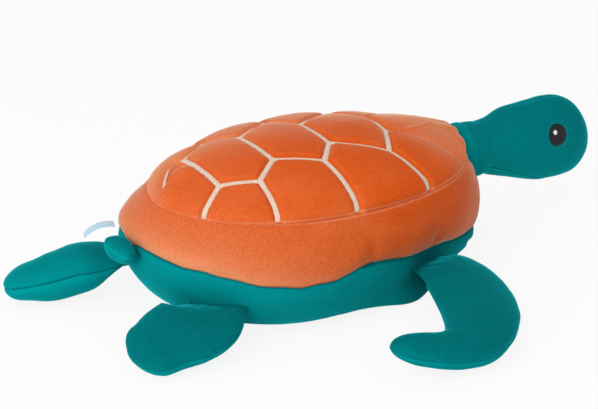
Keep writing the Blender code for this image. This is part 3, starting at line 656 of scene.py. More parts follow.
@dataclass(frozen=True)
class Stitching:
    """The scute pattern: its corners on one side of the spine, and the rays down to the dome seam."""

    line_width: float = 0.0054
    corners: tuple[tuple[float, float], ...] = (
        (-0.097, 0.0305),
        (-0.0704, 0.0454),
        (-0.0498, 0.0275),
        (-0.0158, 0.0466),
        (0.0016, 0.0231),
        (0.041, 0.0484),
        (0.0564, 0.0158),
    )
    crossings: tuple[int, ...] = (0, 2, 4, 6)
    rays: tuple[tuple[int, float, float], ...] = (
        (0, 152.8, 1.0),
        (1, 124.2, 1.0),
        (3, 95.8, 1.0),
        (5, 64.7, 1.0),
        (6, 35.5, 0.26),
    )
    tucked_ray: tuple[tuple[float, float], ...] = (
        (-0.097, 0.0305),
        (-0.1022, 0.0345),
        (-0.1109, 0.0288),
        (-0.1189, 0.0171),
        (-0.1239, 0.0086),
    )
    tucked_share: float = 0.55
    ray_end_climb: float = 2.0
    step: float = 0.0016

    def lines(self, shape: BodyShape) -> list[tuple[Array, float]]:
        """The stitched lines as turn and climb points along each, with a share of the width.

        Args:
            shape: The body that carries the pattern.

        Returns:
            Pairs of an array of points by (turn, climb) and the line's width share.
        """
        found = []
        for side in (1, -1):
            for start, end in zip(self.corners, self.corners[1:]):
                found.append((self.straight(shape, np.array([start, end]) * (1, side)), 1.0))
            for corner, degrees, share in self.rays:
                if side > 0 and corner == 0:
                    found.append((self.straight(shape, np.array(self.tucked_ray)), self.tucked_share))
                    continue
                foot = shape.dome(np.radians(degrees), np.radians(self.ray_end_climb))[:2]
                ends = np.array([self.corners[corner], foot]) * (1, side)
                found.append((self.straight(shape, ends), share))
        for corner in self.crossings:
            x, y = self.corners[corner]
            found.append((self.straight(shape, np.array([(x, y), (x, -y)])), 1.0))
        return found

    def straight(self, shape: BodyShape, ends: Array) -> Array:
        """Points of a line that is straight in plan between these ends, evenly spaced on the dome."""
        shares = (1 - (1 - np.linspace(0, 1, 240)) ** 1.6) * (len(ends) - 1)
        x, y = (np.interp(shares, np.arange(len(ends)), ends[:, axis]) for axis in (0, 1))
        turns, climbs = shape.locate(x, y)
        turns = np.unwrap(turns)
        reach = reach_along(shape.dome(turns, climbs), 0)
        spots = np.linspace(0, reach[-1], max(4, int(reach[-1] / self.step)))
        return np.stack([np.interp(spots, reach, turns), np.interp(spots, reach, climbs)], -1)


@dataclass
class Fold:
    """A crease or tuck in the cloth, along a path of places."""

    path: Sequence[tuple[float, ...]]
    depth: float
    width: float
    lip: float = 0.0

    def press(self, places: Array) -> Array:
        """Height change of places near the fold: a groove with a lip on each side.

        Args:
            places: Places in as many dimensions as the path has.

        Returns:
            One height for each place.
        """
        path = np.array(self.path)
        best = np.full(places.shape[:-1], 1.0)
        run = np.zeros(places.shape[:-1])
        for number, (start, end) in enumerate(zip(path, path[1:])):
            line = end - start
            share = np.clip(((places - start) @ line) / (line @ line), 0, 1)
            gap = np.linalg.norm(places - start - share[..., None] * line, axis=-1)
            run = np.where(gap < best, number + share, run)
            best = np.minimum(best, gap)
        fade = np.sin(np.pi * np.clip(run / (len(path) - 1), 0.04, 0.96)) ** 0.6
        groove = -self.depth * np.exp(-((best / self.width) ** 2))
        lips = self.lip * np.exp(-(((best - 2.1 * self.width) / (1.3 * self.width)) ** 2))
        return (groove + lips) * fade


class Quilting:
    """How far the stuffing lifts the top panel between its stitched lines."""

    cell = 0.00125
    half_size = (0.16, 0.12)
    gain = 0.18
    calm_front = (0.045, 0.085, 0.55)
    seam_lift = 0.0011
    edge_softness = 0.0019
    groove_depth = 0.0019
    rear_fullness = 0.0034

    tucks = (
        Fold(((-0.0985, 0.0235), (-0.1035, 0.0262), (-0.1115, 0.0205), (-0.1192, 0.0115),
              (-0.1243, 0.005)), 0.0034, 0.002),
        Fold(((-0.098, 0.0148), (-0.104, 0.0185), (-0.1134, 0.0135), (-0.1206, 0.0075),
              (-0.1245, 0.0018)), 0.005, 0.0026),
        Fold(((-0.0983, -0.0023), (-0.1053, 0.0034), (-0.1124, 0.0062), (-0.1199, 0.0037),
              (-0.125, -0.0024)), -0.003, 0.0065),
        Fold(((0.0584, -0.0215), (0.0643, -0.0219), (0.0789, -0.0204), (0.1005, -0.0108),
              (0.115, 0.002)), -0.0011, 0.0018),
        Fold(((0.1005, -0.0108), (0.1132, -0.0135), (0.1148, -0.022), (0.1158, -0.0291), (0.1172, -0.0344),
              (0.1159, -0.0401), (0.113, -0.044)), -0.001, 0.0014, -0.0005),
        Fold(((0.0584, 0.0203), (0.0753, 0.0236), (0.0934, 0.026), (0.108, 0.03)), 0.0008, 0.0014, 0.0003),
    )

    def __init__(self, shape: BodyShape, stitching: Stitching) -> None:
        """Solves the cushion heights on a flattened dome."""
        self.shape = shape
        climbs = np.linspace(0, np.pi / 2, 181)
        reaches = []
        for turn in (0.0, np.pi / 2):
            places = shape.dome(np.full(climbs.shape, turn), climbs)
            reaches.append(reach_along(places, 0))
        self.climbs = climbs
        self.shares = 1 - sum(reach / reach[-1] for reach in reaches) / 2
        self.half_length, self.half_width = reaches[0][-1], reaches[1][-1]
        counts = [int(2 * half / self.cell) + 1 for half in self.half_size]
        xs = np.linspace(-self.half_size[0], self.half_size[0], counts[0])
        ys = np.linspace(-self.half_size[1], self.half_size[1], counts[1])
        self.xs, self.ys = xs, ys
        grid = np.stack(np.meshgrid(xs, ys, indexing="ij"), -1)
        self.paths = [(self.flatten(line), share) for line, share in stitching.lines(shape)]
        near = np.full(grid.shape[:2], 1.0)
        for path, share in self.paths:
            near = np.minimum(near, self.distance(grid, path) - stitching.line_width * share / 2)
        turns = np.linspace(0, 2 * np.pi, 361)
        rim = self.flatten(np.stack([turns, np.zeros_like(turns)], -1))
        radius = np.hypot(grid[..., 0], grid[..., 1])
        angle = np.arctan2(grid[..., 1], grid[..., 0])
        rim_angle = np.unwrap(np.arctan2(rim[:, 1], rim[:, 0]))
        rim_radius = np.hypot(rim[:, 0], rim[:, 1])
        limit = np.interp(np.mod(angle, 2 * np.pi), rim_angle, rim_radius)
        self.line_distance = near
        self.field = self.cushion(near <= 0, radius >= limit)

    def flatten(self, places: Array) -> Array:
        """Turn and climb pairs laid out flat, true to length from the top."""
        turn, climb = places[..., 0], places[..., 1]
        share = np.interp(climb, self.climbs, self.shares)
        across = np.sin(turn) * (1 + self.shape.dome_seam_taper * np.cos(turn))
        return np.stack([self.half_length * share * np.cos(turn), self.half_width * share * across], -1)

    @staticmethod
    def distance(places: Array, path: Array) -> Array:
        """How far flat places lie from a path."""
        best = np.full(places.shape[:-1], 1.0)
        knots = path if len(path) < 6 else path[np.unique(np.linspace(0, len(path) - 1, 7).astype(int))]
        for start, end in zip(knots, knots[1:]):
            line = end - start
            share = np.clip(((places - start) @ line) / max(line @ line, 1e-12), 0, 1)
            best = np.minimum(best, np.linalg.norm(places - start - share[..., None] * line, axis=-1))
        return best

    def cushion(self, stitched: Array, outside: Array) -> Array:
        """Heights of cloth held at the stitches and swollen between them, in metres."""
        seam = (self.seam_lift / self.gain) ** 2
        swell = np.where(outside, seam, 0.0)
        held = stitched | outside
        odd = np.indices(swell.shape).sum(0) % 2 == 1
        for step in range(260):
            for colour in (odd, ~odd):
                around = np.zeros_like(swell)
                around[1:-1, 1:-1] = (
                    swell[2:, 1:-1] + swell[:-2, 1:-1] + swell[1:-1, 2:] + swell[1:-1, :-2]
                )
                wanted = (around + self.cell**2) / 4
                free = colour & ~held
                swell = np.where(free, swell + 1.88 * (wanted - swell), swell)
        return self.gain * np.sqrt(np.maximum(swell, 0))

    def sample(self, values: Array, turn: Array, climb: Array) -> Array:
        """A flat field read at these turns and climbs."""
        flat = self.flatten(np.stack([turn, climb], -1))
        across = (flat[..., 0] - self.xs[0]) / (self.xs[1] - self.xs[0])
        along = (flat[..., 1] - self.ys[0]) / (self.ys[1] - self.ys[0])
        i = np.clip(across.astype(int), 0, len(self.xs) - 2)
        j = np.clip(along.astype(int), 0, len(self.ys) - 2)
        s, t = across - i, along - j
        low = values[i, j] * (1 - t) + values[i, j + 1] * t
        high = values[i + 1, j] * (1 - t) + values[i + 1, j + 1] * t
        return low * (1 - s) + high * s

    def height(self, turn: Array, climb: Array) -> Array:
        """How far the cloth stands off the dome's form, down in the grooves and up between them."""
        lift = self.sample(self.field, turn, climb)
        distance = self.sample(self.line_distance, turn, climb)
        start, end, least = self.calm_front
        front = ramp(self.shape.dome(turn, climb)[..., 0], start, end)
        lift = lift * (1 - (1 - least) * front)
        groove = self.groove_depth * (1 - ramp(distance, -0.0004, self.edge_softness))
        settled = (0.0024 + 0.0008 * front) * ramp(climb, 0.1, 0.6)
        places = self.shape.dome(turn, climb)
        folds = sum(tuck.press(places[..., :2]) for tuck in self.tucks)
        lift += self.rear_fill(turn, climb * 0.04) + folds * ramp(distance, -0.003, 0.004) + self.slack(places)
        return lift - groove - 0.0008 - settled

    @staticmethod
    def slack(places: Array) -> Array:
        """Broad soft swells of the stuffing, with a faint finer unevenness."""
        return 0.0006 * ripple(places, 0.05, 3.0, 2) + 0.0001 * ripple(places, 0.014, 4.0)

    def rear_fill(self, turn: Array, away: Array) -> Array:
        """The fuller stuffing behind the dome seam's rear, this far from the seam."""
        return self.rear_fullness * ramp(-np.cos(turn), 0.45, 0.95) * np.exp(-((away / 0.011) ** 2))


@dataclass
class ShellAndBelly:
    """The body's four panels, made as one skin and then parted at the seams."""

    shape: BodyShape
    quilting: Quilting
    wardrobe: Wardrobe
    columns: int = 480
    belly_rows: int = 46
    band_rows: int = 40
    dome_rows: int = 92
    belly_seam_depth: float = 0.0026
    belly_seam_reach: float = 0.0042
    dome_seam_depth: float = 0.0005
    dome_seam_reach: float = 0.0014
    spine_seam_depth: float = 0.0009
    hem_depth: float = 0.0045
    neck_radius: float = 0.0226
    neck_pocket_depth: float = 0.0034
    band_fill: float = 0.0008
    flipper_roots: tuple[tuple[float, float, float], ...] = (
        (0.05228, -0.08242, 0.029),
        (0.05228, 0.08242, 0.029),
        (-0.12064, -0.07045, 0.03),
        (-0.13872, 0.04525, 0.03),
    )
    seam_waves: tuple[tuple[float, float], ...] = (
        (-180, 2.5), (-168, 2.6), (-160, 2.0), (-153, 1.3), (-145, 2.7), (-140, 1.0), (-134, 0.5),
        (-127, -2.3), (-119, -2.2), (-114, -3.4), (-109, -1.8), (-103, -1.5), (-99, 1.0), (-95, 3.6),
        (-89, 4.0), (-84, 2.6), (-78, 0.2), (-71, -1.1), (-65, -0.5), (-59, 0.7), (-50, -0.8), (-43, -0.5),
        (-30, 0.0), (0, 0.0), (30, 0.0),
    )

    def skin(self) -> tuple[Array, dict[str, Array]]:
        """The whole skin's points, and how much painted highlight, painted shade and painted light each of them gets.

        Returns:
            Rows by columns of places, and the shares for the finish under their names.
        """
        turns = np.linspace(0, 2 * np.pi, self.columns, endpoint=False)
        flat = np.linspace(0, 1, 9)[:-1]
        rows = [self.shape.belly(turns, np.zeros_like(turns)) * (share, share, 1) for share in flat]
        for climb in np.linspace(0, np.pi / 2, self.belly_rows + 1)[:-1]:
            rows.append(self.shape.belly(turns, np.full_like(turns, climb)))
        self.belly_row = len(rows)
        for share in np.linspace(0, 1, self.band_rows + 1)[:-1]:
            rows.append(self.shape.band(turns, np.full_like(turns, share)))
        self.dome_row = len(rows)
        shares = np.linspace(1, 0, self.dome_rows + 1)
        climbs = np.interp(shares, self.quilting.shares[::-1], self.quilting.climbs[::-1])
        for climb in climbs:
            rows.append(self.shape.dome(turns, np.full_like(turns, climb)))
        points = np.array(rows)
        reach = reach_along(points, 0)
        to_belly_seam = np.abs(reach - reach[self.belly_row])
        points[..., 2] += self.seam_rise(turns) * np.exp(-((to_belly_seam / 0.015) ** 2))
        normals = grid_normals(points, True, np.array([0.0, 0.0, 0.06]))
        to_dome_seam = np.abs(reach - reach[self.dome_row])
        lift = np.zeros(points.shape[:2])
        dome_turns, dome_climbs = np.meshgrid(turns, climbs)
        lift[self.dome_row + 1 :] += self.quilting.height(dome_turns, dome_climbs)[1:]
        lift += self.band_swell(points, to_belly_seam, to_dome_seam)
        lift += self.seam_pinch(points, to_belly_seam, to_dome_seam)
        lift += self.spine_seam(points, turns)
        lift += self.folds(points, to_belly_seam)
        lift = self.held_up(points, lift)
        points = points + normals * lift[..., None]
        points = self.neck_pocket(points, normals)
        points[..., 2] = np.maximum(points[..., 2], 0.0)
        # Painted highlights: a pale strip above the belly seam and one on the dome seam's lip.
        worn = np.exp(-to_belly_seam / 0.004) * 0.6 + np.exp(-(((to_dome_seam - 0.0014) / 0.0012) ** 2)) * 0.8
        # Painted shade: dark in the belly seam's groove and faintly in the dome seam, in the first band tucks and dome
        # tucks, and round the front flipper roots.
        crease = np.exp(-((to_belly_seam / 0.0017) ** 2)) + 0.12 * np.exp(-((to_dome_seam / 0.0007) ** 2))
        for tuck in self.band_tucks()[:2]:
            crease += 0.45 * np.maximum(-tuck.press(points), 0) / tuck.depth
        for tuck in self.quilting.tucks[:2]:
            dark = np.maximum(-tuck.press(points[self.dome_row :][..., :2]), 0) / tuck.depth
            crease[self.dome_row :] += 0.6 * dark
        for root in self.flipper_roots[:2]:
            away = np.linalg.norm(points[8 : self.belly_row] - np.array(root), axis=-1)
            crease[8 : self.belly_row] += 0.9 * np.exp(-((away / 0.036) ** 2))
        distance = self.quilting.sample(self.quilting.line_distance, dome_turns, dome_climbs)
        # Painted highlight on the cushions beside the stitched lines.
        worn[self.dome_row :] += 0.35 * np.exp(-(((distance - 0.0018) / 0.002) ** 2))
        # Painted light and sheen over the body's pile.
        dust = self.painted_light_shares(points, turns, to_belly_seam)
        shares = {"worn": worn, "crease": crease, "dust": dust}
        return points, {name: np.clip(share, 0, 1) for name, share in shares.items()}

    def painted_light_shares(self, points: Array, turns: Array, to_belly: Array) -> Array:
        """Where the pile is painted lighter as light and sheen: low on the band, all over its rear, on the dome's far
        and top faces, and on the belly.
        """
        rear = ramp(-np.cos(turns), -0.3, 1.0)[None]
        dust = np.zeros(points.shape[:2])
        band = slice(self.belly_row, self.dome_row + 1)
        # Painted light on the band: low near the belly seam and over the rear, which faces the lamp.
        dust[band] = np.exp(-to_belly[band] / 0.016) * (0.2 + 0.35 * rear) + 0.22 * rear
        dome = slice(self.dome_row, None)
        # Painted light on the dome's rear, near its seam.
        dust[dome] = 0.3 * rear * np.exp(-(to_belly[dome] - to_belly[self.dome_row]) / 0.018)
        x, y = points[dome][..., 0], points[dome][..., 1]
        # Painted sheen on the dome's far and top faces, which are seen at grazing.
        painted_light_share = 0.5 * ramp(y, -0.03, 0.045) + 0.45 * ramp(x, 0.04, 0.09) * ramp(y, -0.085, -0.03)
        dust[dome] += painted_light_share * (1 - ramp(y, 0.04, 0.08))
        belly = slice(8, self.belly_row)
        ahead = 1 - 0.9 * ramp(points[belly][..., 0], 0.03, 0.09)
        # Painted light from below on the belly, less towards its front.
        dust[belly] = (0.5 + 0.2 * rear) * ahead
        return dust

    def seam_rise(self, turns: Array) -> Array:
        """How far the belly seam is drawn up or sags at these turns."""
        degrees = np.degrees(np.where(turns > np.pi, turns - 2 * np.pi, -turns))
        shift = np.where(turns > np.pi, 0.0, 23.0)
        knots = np.array(self.seam_waves)
        rise = np.interp(degrees + shift, knots[:, 0], knots[:, 1])
        ends = ramp(np.abs(np.sin(turns)), 0.0, 0.12)
        return rise * ends / 1000

    def band_swell(self, points: Array, to_belly: Array, to_dome: Array) -> Array:
        """Fullness of the band and of the belly's side above it."""
        total = to_belly[self.dome_row][None]
        inside = np.zeros(points.shape[:2])
        rows = slice(self.belly_row, self.dome_row + 1)
        share = np.clip(to_belly[rows] / total, 0, 1)
        level = self.quilting.seam_lift - 0.0008
        turn = np.arctan2(points[rows, :, 1], points[rows, :, 0])
        inside[rows] = self.band_fill * np.sin(np.pi * share) ** 0.8 + level * ramp(share, 0.3, 1.0)
        inside[rows] += self.quilting.rear_fill(turn, to_dome[rows])
        waves = self.seam_rise(np.mod(turn, 2 * np.pi))
        inside[rows] -= 0.3 * waves * np.exp(-((to_belly[rows] / 0.02) ** 2))
        belly = slice(8, self.belly_row)
        inside[belly] = 0.0008 * np.sin(np.pi * np.clip(to_belly[belly] / 0.06, 0, 1))
        front = np.exp(-(((points[belly, :, 0] - 0.042) / 0.032) ** 2))
        low = np.exp(-(((points[belly, :, 2] - 0.008) / 0.009) ** 2))
        inside[belly] += 0.015 * front * low
        return inside

    def seam_pinch(self, points: Array, to_belly: Array, to_dome: Array) -> Array:
        """The seams' grooves, with puckers that fade out over the cloth beside them."""
        pinch = -self.belly_seam_depth * np.exp(-to_belly / self.belly_seam_reach)
        pinch -= self.dome_seam_depth * np.exp(-to_dome / self.dome_seam_reach)
        along = points.copy()
        along[..., 2] *= 0.25
        pucker = ripple(along, 0.024, 1.0) + 0.5 * ripple(along, 0.012, 6.0)
        fade = np.exp(-((to_belly / 0.014) ** 2)) * ramp(to_belly, 0.0, 0.003)
        pinch += 0.0006 * pucker * fade
        fine = ripple(along, 0.012, 2.0)
        pinch += 0.00025 * fine * np.exp(-((to_dome / 0.008) ** 2)) * ramp(to_dome, 0.0, 0.0015)
        return pinch

    def spine_seam(self, points: Array, turns: Array) -> Array:
        """The upright seam at the band's rear, with a few soft pleats beside it."""
        rows = slice(self.belly_row, self.dome_row + 1)
        lift = np.zeros(points.shape[:2])
        away = np.abs(points[rows, :, 1])
        rear = (points[rows, :, 0] < 0).astype(float)
        lift[rows] = -self.spine_seam_depth * np.exp(-away / 0.0018) * rear
        pleat = np.cos(2 * np.pi * away / 0.016 + 2.2 * points[rows, :, 2] / 0.03)
        lift[rows] += 0.0002 * pleat * np.exp(-((away / 0.022) ** 2)) * rear * ramp(away, 0.001, 0.006)
        return lift

    def folds(self, points: Array, to_belly: Array) -> Array:
        """Slack and tucks: broad swells everywhere, and the tucks that the cloth shows."""
        lift = self.quilting.slack(points)
        numbers = np.arange(len(points))
        lift *= np.where((numbers < 8) | (numbers > self.dome_row), 0.0, 1.0)[:, None]
        for root in self.flipper_roots:
            away = np.linalg.norm(points - np.array(root), axis=-1)
            belly = slice(8, self.belly_row)
            lift[belly] -= 0.0022 * np.exp(-((away[belly] / 0.03) ** 2))
        for fold in self.band_tucks():
            lift += fold.press(points)
        return lift

    def band_tucks(self) -> list[Fold]:
        """Short creases that rise from the belly seam, and longer ones across the belly."""
        found = []
        for degrees, share, slant, depth in (
            (-92, 0.62, 0.02, 0.0019),
            (-64.5, 0.4, 0.02, 0.0014),
            (-119, 0.24, 0.02, 0.0008),
            (-140, 0.22, 0.03, 0.0006),
            (56, 0.4, 0.03, 0.0012),
            (88, 0.5, -0.03, 0.0014),
            (136, 0.3, 0.03, 0.0009),
        ):
            turn = math.radians(degrees)
            spots = [(turn + slant * part, share * part) for part in (0.02, 0.35, 0.7, 1.0)]
            path = [tuple(self.shape.band(np.array(t), np.array(s))) for t, s in spots]
            found.append(Fold(path, depth * 0.85, 0.0055, depth * 0.12))
        for start, end, low, high in (
            (-171, -148, 84, 56),
            (-160, -132, 78, 40),
            (168, 140, 80, 48),
            (-112, -84, 34, 27),
            (-36, -22, 74, 60),
            (30, 12, 70, 58),
        ):
            parts = (0, 0.35, 0.7, 1)
            spots = [(start + (end - start) * part, low + (high - low) * part) for part in parts]
            path = [tuple(self.shape.belly(np.radians(t), np.radians(c))) for t, c in spots]
            found.append(Fold(path, 0.0009, 0.0028, 0.0005))
        return found

    def held_up(self, points: Array, lift: Array) -> Array:
        """Keeps the flat face on the floor, free of swells."""
        low = ramp(points[..., 2], 0.0, 0.012)
        return np.where(lift > 0, lift * low, lift * ramp(points[..., 2], -0.001, 0.006))

    def neck_pocket(self, points: Array, normals: Array) -> Array:
        """Gathers the front of the shell into a pocket round the neck."""
        pivot = self.shape.neck_pivot()
        side, rise = points[..., 1], points[..., 2] - pivot[2]
        away = np.hypot(side, rise) - self.neck_radius
        angle = np.arctan2(side, rise)
        front = ramp(points[..., 0], 0.085, 0.11)
        pleat = np.sin(angle * 11 + 1.3 * np.sin(angle * 3)) * np.exp(-((away / 0.009) ** 2))
        depth = self.neck_pocket_depth * np.exp(-np.maximum(away, 0) / 0.0055)
        depth = depth + 0.014 * ramp(-away, 0.0, 0.012)
        moved = points.copy()
        moved[..., 0] -= depth * front
        swell = 0.0009 * pleat * front * ramp(away, -0.002, 0.001)
        return moved + normals * swell[..., None]

    def hemmed(self, points: Array, axis: int, ends: tuple[bool, bool]) -> Array:
        """A panel's points with a hidden hem turned inwards at its seams.

        Args:
            points: The panel's rows by columns.
            axis: 0 for seams at the first and last rows, 1 for seams at the columns' ends.
            ends: Whether the first and the last one are seams.

        Returns:
            The points with the hems added.
        """
        centre = np.array([0.0, 0.0, 0.062])
        parts = [points]
        for place, sewn in zip((0, -1), ends):
            if sewn:
                edge = np.take(points, [place], axis=axis)
                hem = edge + unit(centre - edge) * self.hem_depth
                parts.insert(0 if place == 0 else len(parts), hem)
        return np.concatenate(parts, axis=axis)

    def panel(self, name: str, finish: Finish, rows: slice, columns: slice | None,
              skin: tuple[Array, dict[str, Array]]) -> bpy.types.Object:
        """Cuts one panel out of the skin, hems it and dresses it."""
        points, shares = skin
        ends = (rows.start > 0, rows.stop < len(points))
        wraps = columns is None

        def chosen(values: Array) -> Array:
            """The panel's part of the skin's values."""
            part = values[rows]
            return part if wraps else np.concatenate([part, part[:, :1]], axis=1)[:, columns]

        places = self.hemmed(chosen(points), 0, ends)
        pad = [(int(ends[0]), int(ends[1])), (0, 0)]
        if not wraps:
            places = self.hemmed(places, 1, (True, True))
            pad[1] = (1, 1)
        values = {label: np.pad(chosen(share), pad, mode="edge") for label, share in shares.items()}
        cloth = ClothMesh(name)
        cloth.add_grid(places, wraps, **values)
        thing = cloth.finish(finish, np.array([0.0, 0.0, 0.06]))
        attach(thing, "body")
        return thing

    def build(self) -> None:
        """Makes the belly, the two side bands and the top panel."""
        skin = self.skin()
        half = self.columns // 2
        look = self.wardrobe
        belly = self.panel("belly_cloth", look.teal, slice(0, self.belly_row + 1), None, skin)
        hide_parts("belly_panel", "body_filling")
        bands = slice(self.belly_row, self.dome_row + 1)
        left = self.panel("side_band_cloth_left", look.band, bands, slice(0, half + 1), skin)
        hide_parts("shell_side_band_left")
        right = self.panel("side_band_cloth_right", look.band, bands,
                           slice(half, self.columns + 1), skin)
        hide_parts("shell_side_band_right")
        top = self.panel("shell_top_cloth", look.orange,
                         slice(self.dome_row, len(skin[0])), None, skin)
        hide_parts("shell_top_panel")
        for piece, fill in ((belly, 0.8), (left, 0.8), (right, 0.8), (top, 0.85)):
            LOG.info("made %s", piece.name)


@dataclass
class Embroidery:
    """The satin-stitched lines that hold the top panel down."""

    shape: BodyShape
    stitching: Stitching
    quilting: Quilting
    wardrobe: Wardrobe
    crown: float = 0.0004
    lift: float = 0.0003
    sunk: float = 0.0006
    shaded_side: tuple[float, float, float] = (0.83, 0.56, 0.0)
    columns: int = 9

    def strip(self, line: Array, share: float, seed: float) -> tuple[Array, Array, Array]:
        """One stitched line as a rounded strip in its groove.

        Args:
            line: Turn and climb pairs along it.
            share: Share of the full width.
            seed: Tells this line's small unevenness from the others'.

        Returns:
            Points in rows along the line, the length along it, and each point's share of painted shade, more at the
            edges and on the side away from the lamp.
        """
        turn, climb = line[:, 0], line[:, 1]
        places, normals = self.shape.dome_frame(turn, climb)
        places = places + normals * self.quilting.height(turn, climb)[:, None]
        along = unit(np.gradient(places, axis=0))
        across = unit(np.cross(normals, along))
        wobble = ripple(places, 0.006, seed) * 0.00018
        width = self.stitching.line_width * share / 2 * (1 + 0.07 * ripple(places, 0.0035, seed + 5))
        spread = np.linspace(-1, 1, self.columns)
        height = self.lift + self.crown * share * (1 - np.abs(spread) ** 2.6)
        height[0] = height[-1] = -self.sunk
        height[1] = height[-2] = self.lift * 0.6
        offset = spread[None] * width[:, None] + wobble[:, None]
        points = places[:, None] + across[:, None] * offset[..., None]
        points = points + normals[:, None] * height[None, :, None]
        reach = np.concatenate([[0], np.cumsum(np.linalg.norm(np.diff(places, axis=0), axis=-1))])
        points, reach = self.capped(points, reach, places, along, normals, width, height)
        # Painted shade: darker on the side turned away from the lamp and towards the edges.
        aside = (across @ np.array(self.shaded_side)).mean()
        flank = np.clip(0.5 * aside * spread + 0.35 * np.abs(spread) ** 3 + 0.08, 0, 1)
        edge = flank[None] * np.ones((len(points), 1))
        return points, np.repeat(reach[:, None], self.columns, axis=1), edge

    def capped(self, points: Array, reach: Array, places: Array, along: Array, normals: Array,
               width: Array, height: Array) -> tuple[Array, Array]:
        """The strip with a rounded end at each of its ends."""
        caps = []
        for end, sign in ((0, -1), (-1, 1)):
            rows = []
            for angle in (35, 65, 85):
                turned = math.radians(angle)
                side = points[end] - places[end] - normals[end] * height[:, None]
                flat = places[end] + side * math.cos(turned)
                flat = flat + along[end] * sign * width[end] * math.sin(turned)
                drop = height * math.cos(turned) ** 0.5 - self.sunk * (1 - math.cos(turned))
                rows.append(flat + normals[end] * drop[:, None])
            caps.append(np.array(rows))
        start = caps[0][::-1]
        joined = np.concatenate([start, points, caps[1]])
        before = reach[0] - np.array([0.0012, 0.0008, 0.0004])
        after = reach[-1] + np.array([0.0004, 0.0008, 0.0012])
        return joined, np.concatenate([before, reach, after])

    def build(self) -> None:
        """Makes the whole network as one piece."""
        cloth = ClothMesh("shell_stitching")
        for number, (line, share) in enumerate(self.stitching.lines(self.shape)):
            points, along, edge = self.strip(line, share, number + 1.0)
            # The crease share carries the strip's painted shade.
            cloth.add_grid(points, along=along, crease=edge, worn=edge * 0)
        thing = cloth.finish(self.wardrobe.cream, np.array([0.0, 0.0, 0.0]))
        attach(thing, "body")
        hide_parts("shell_embroidery")
        LOG.info("made %s", thing.name)


# ---------------------------------------------------------------- head


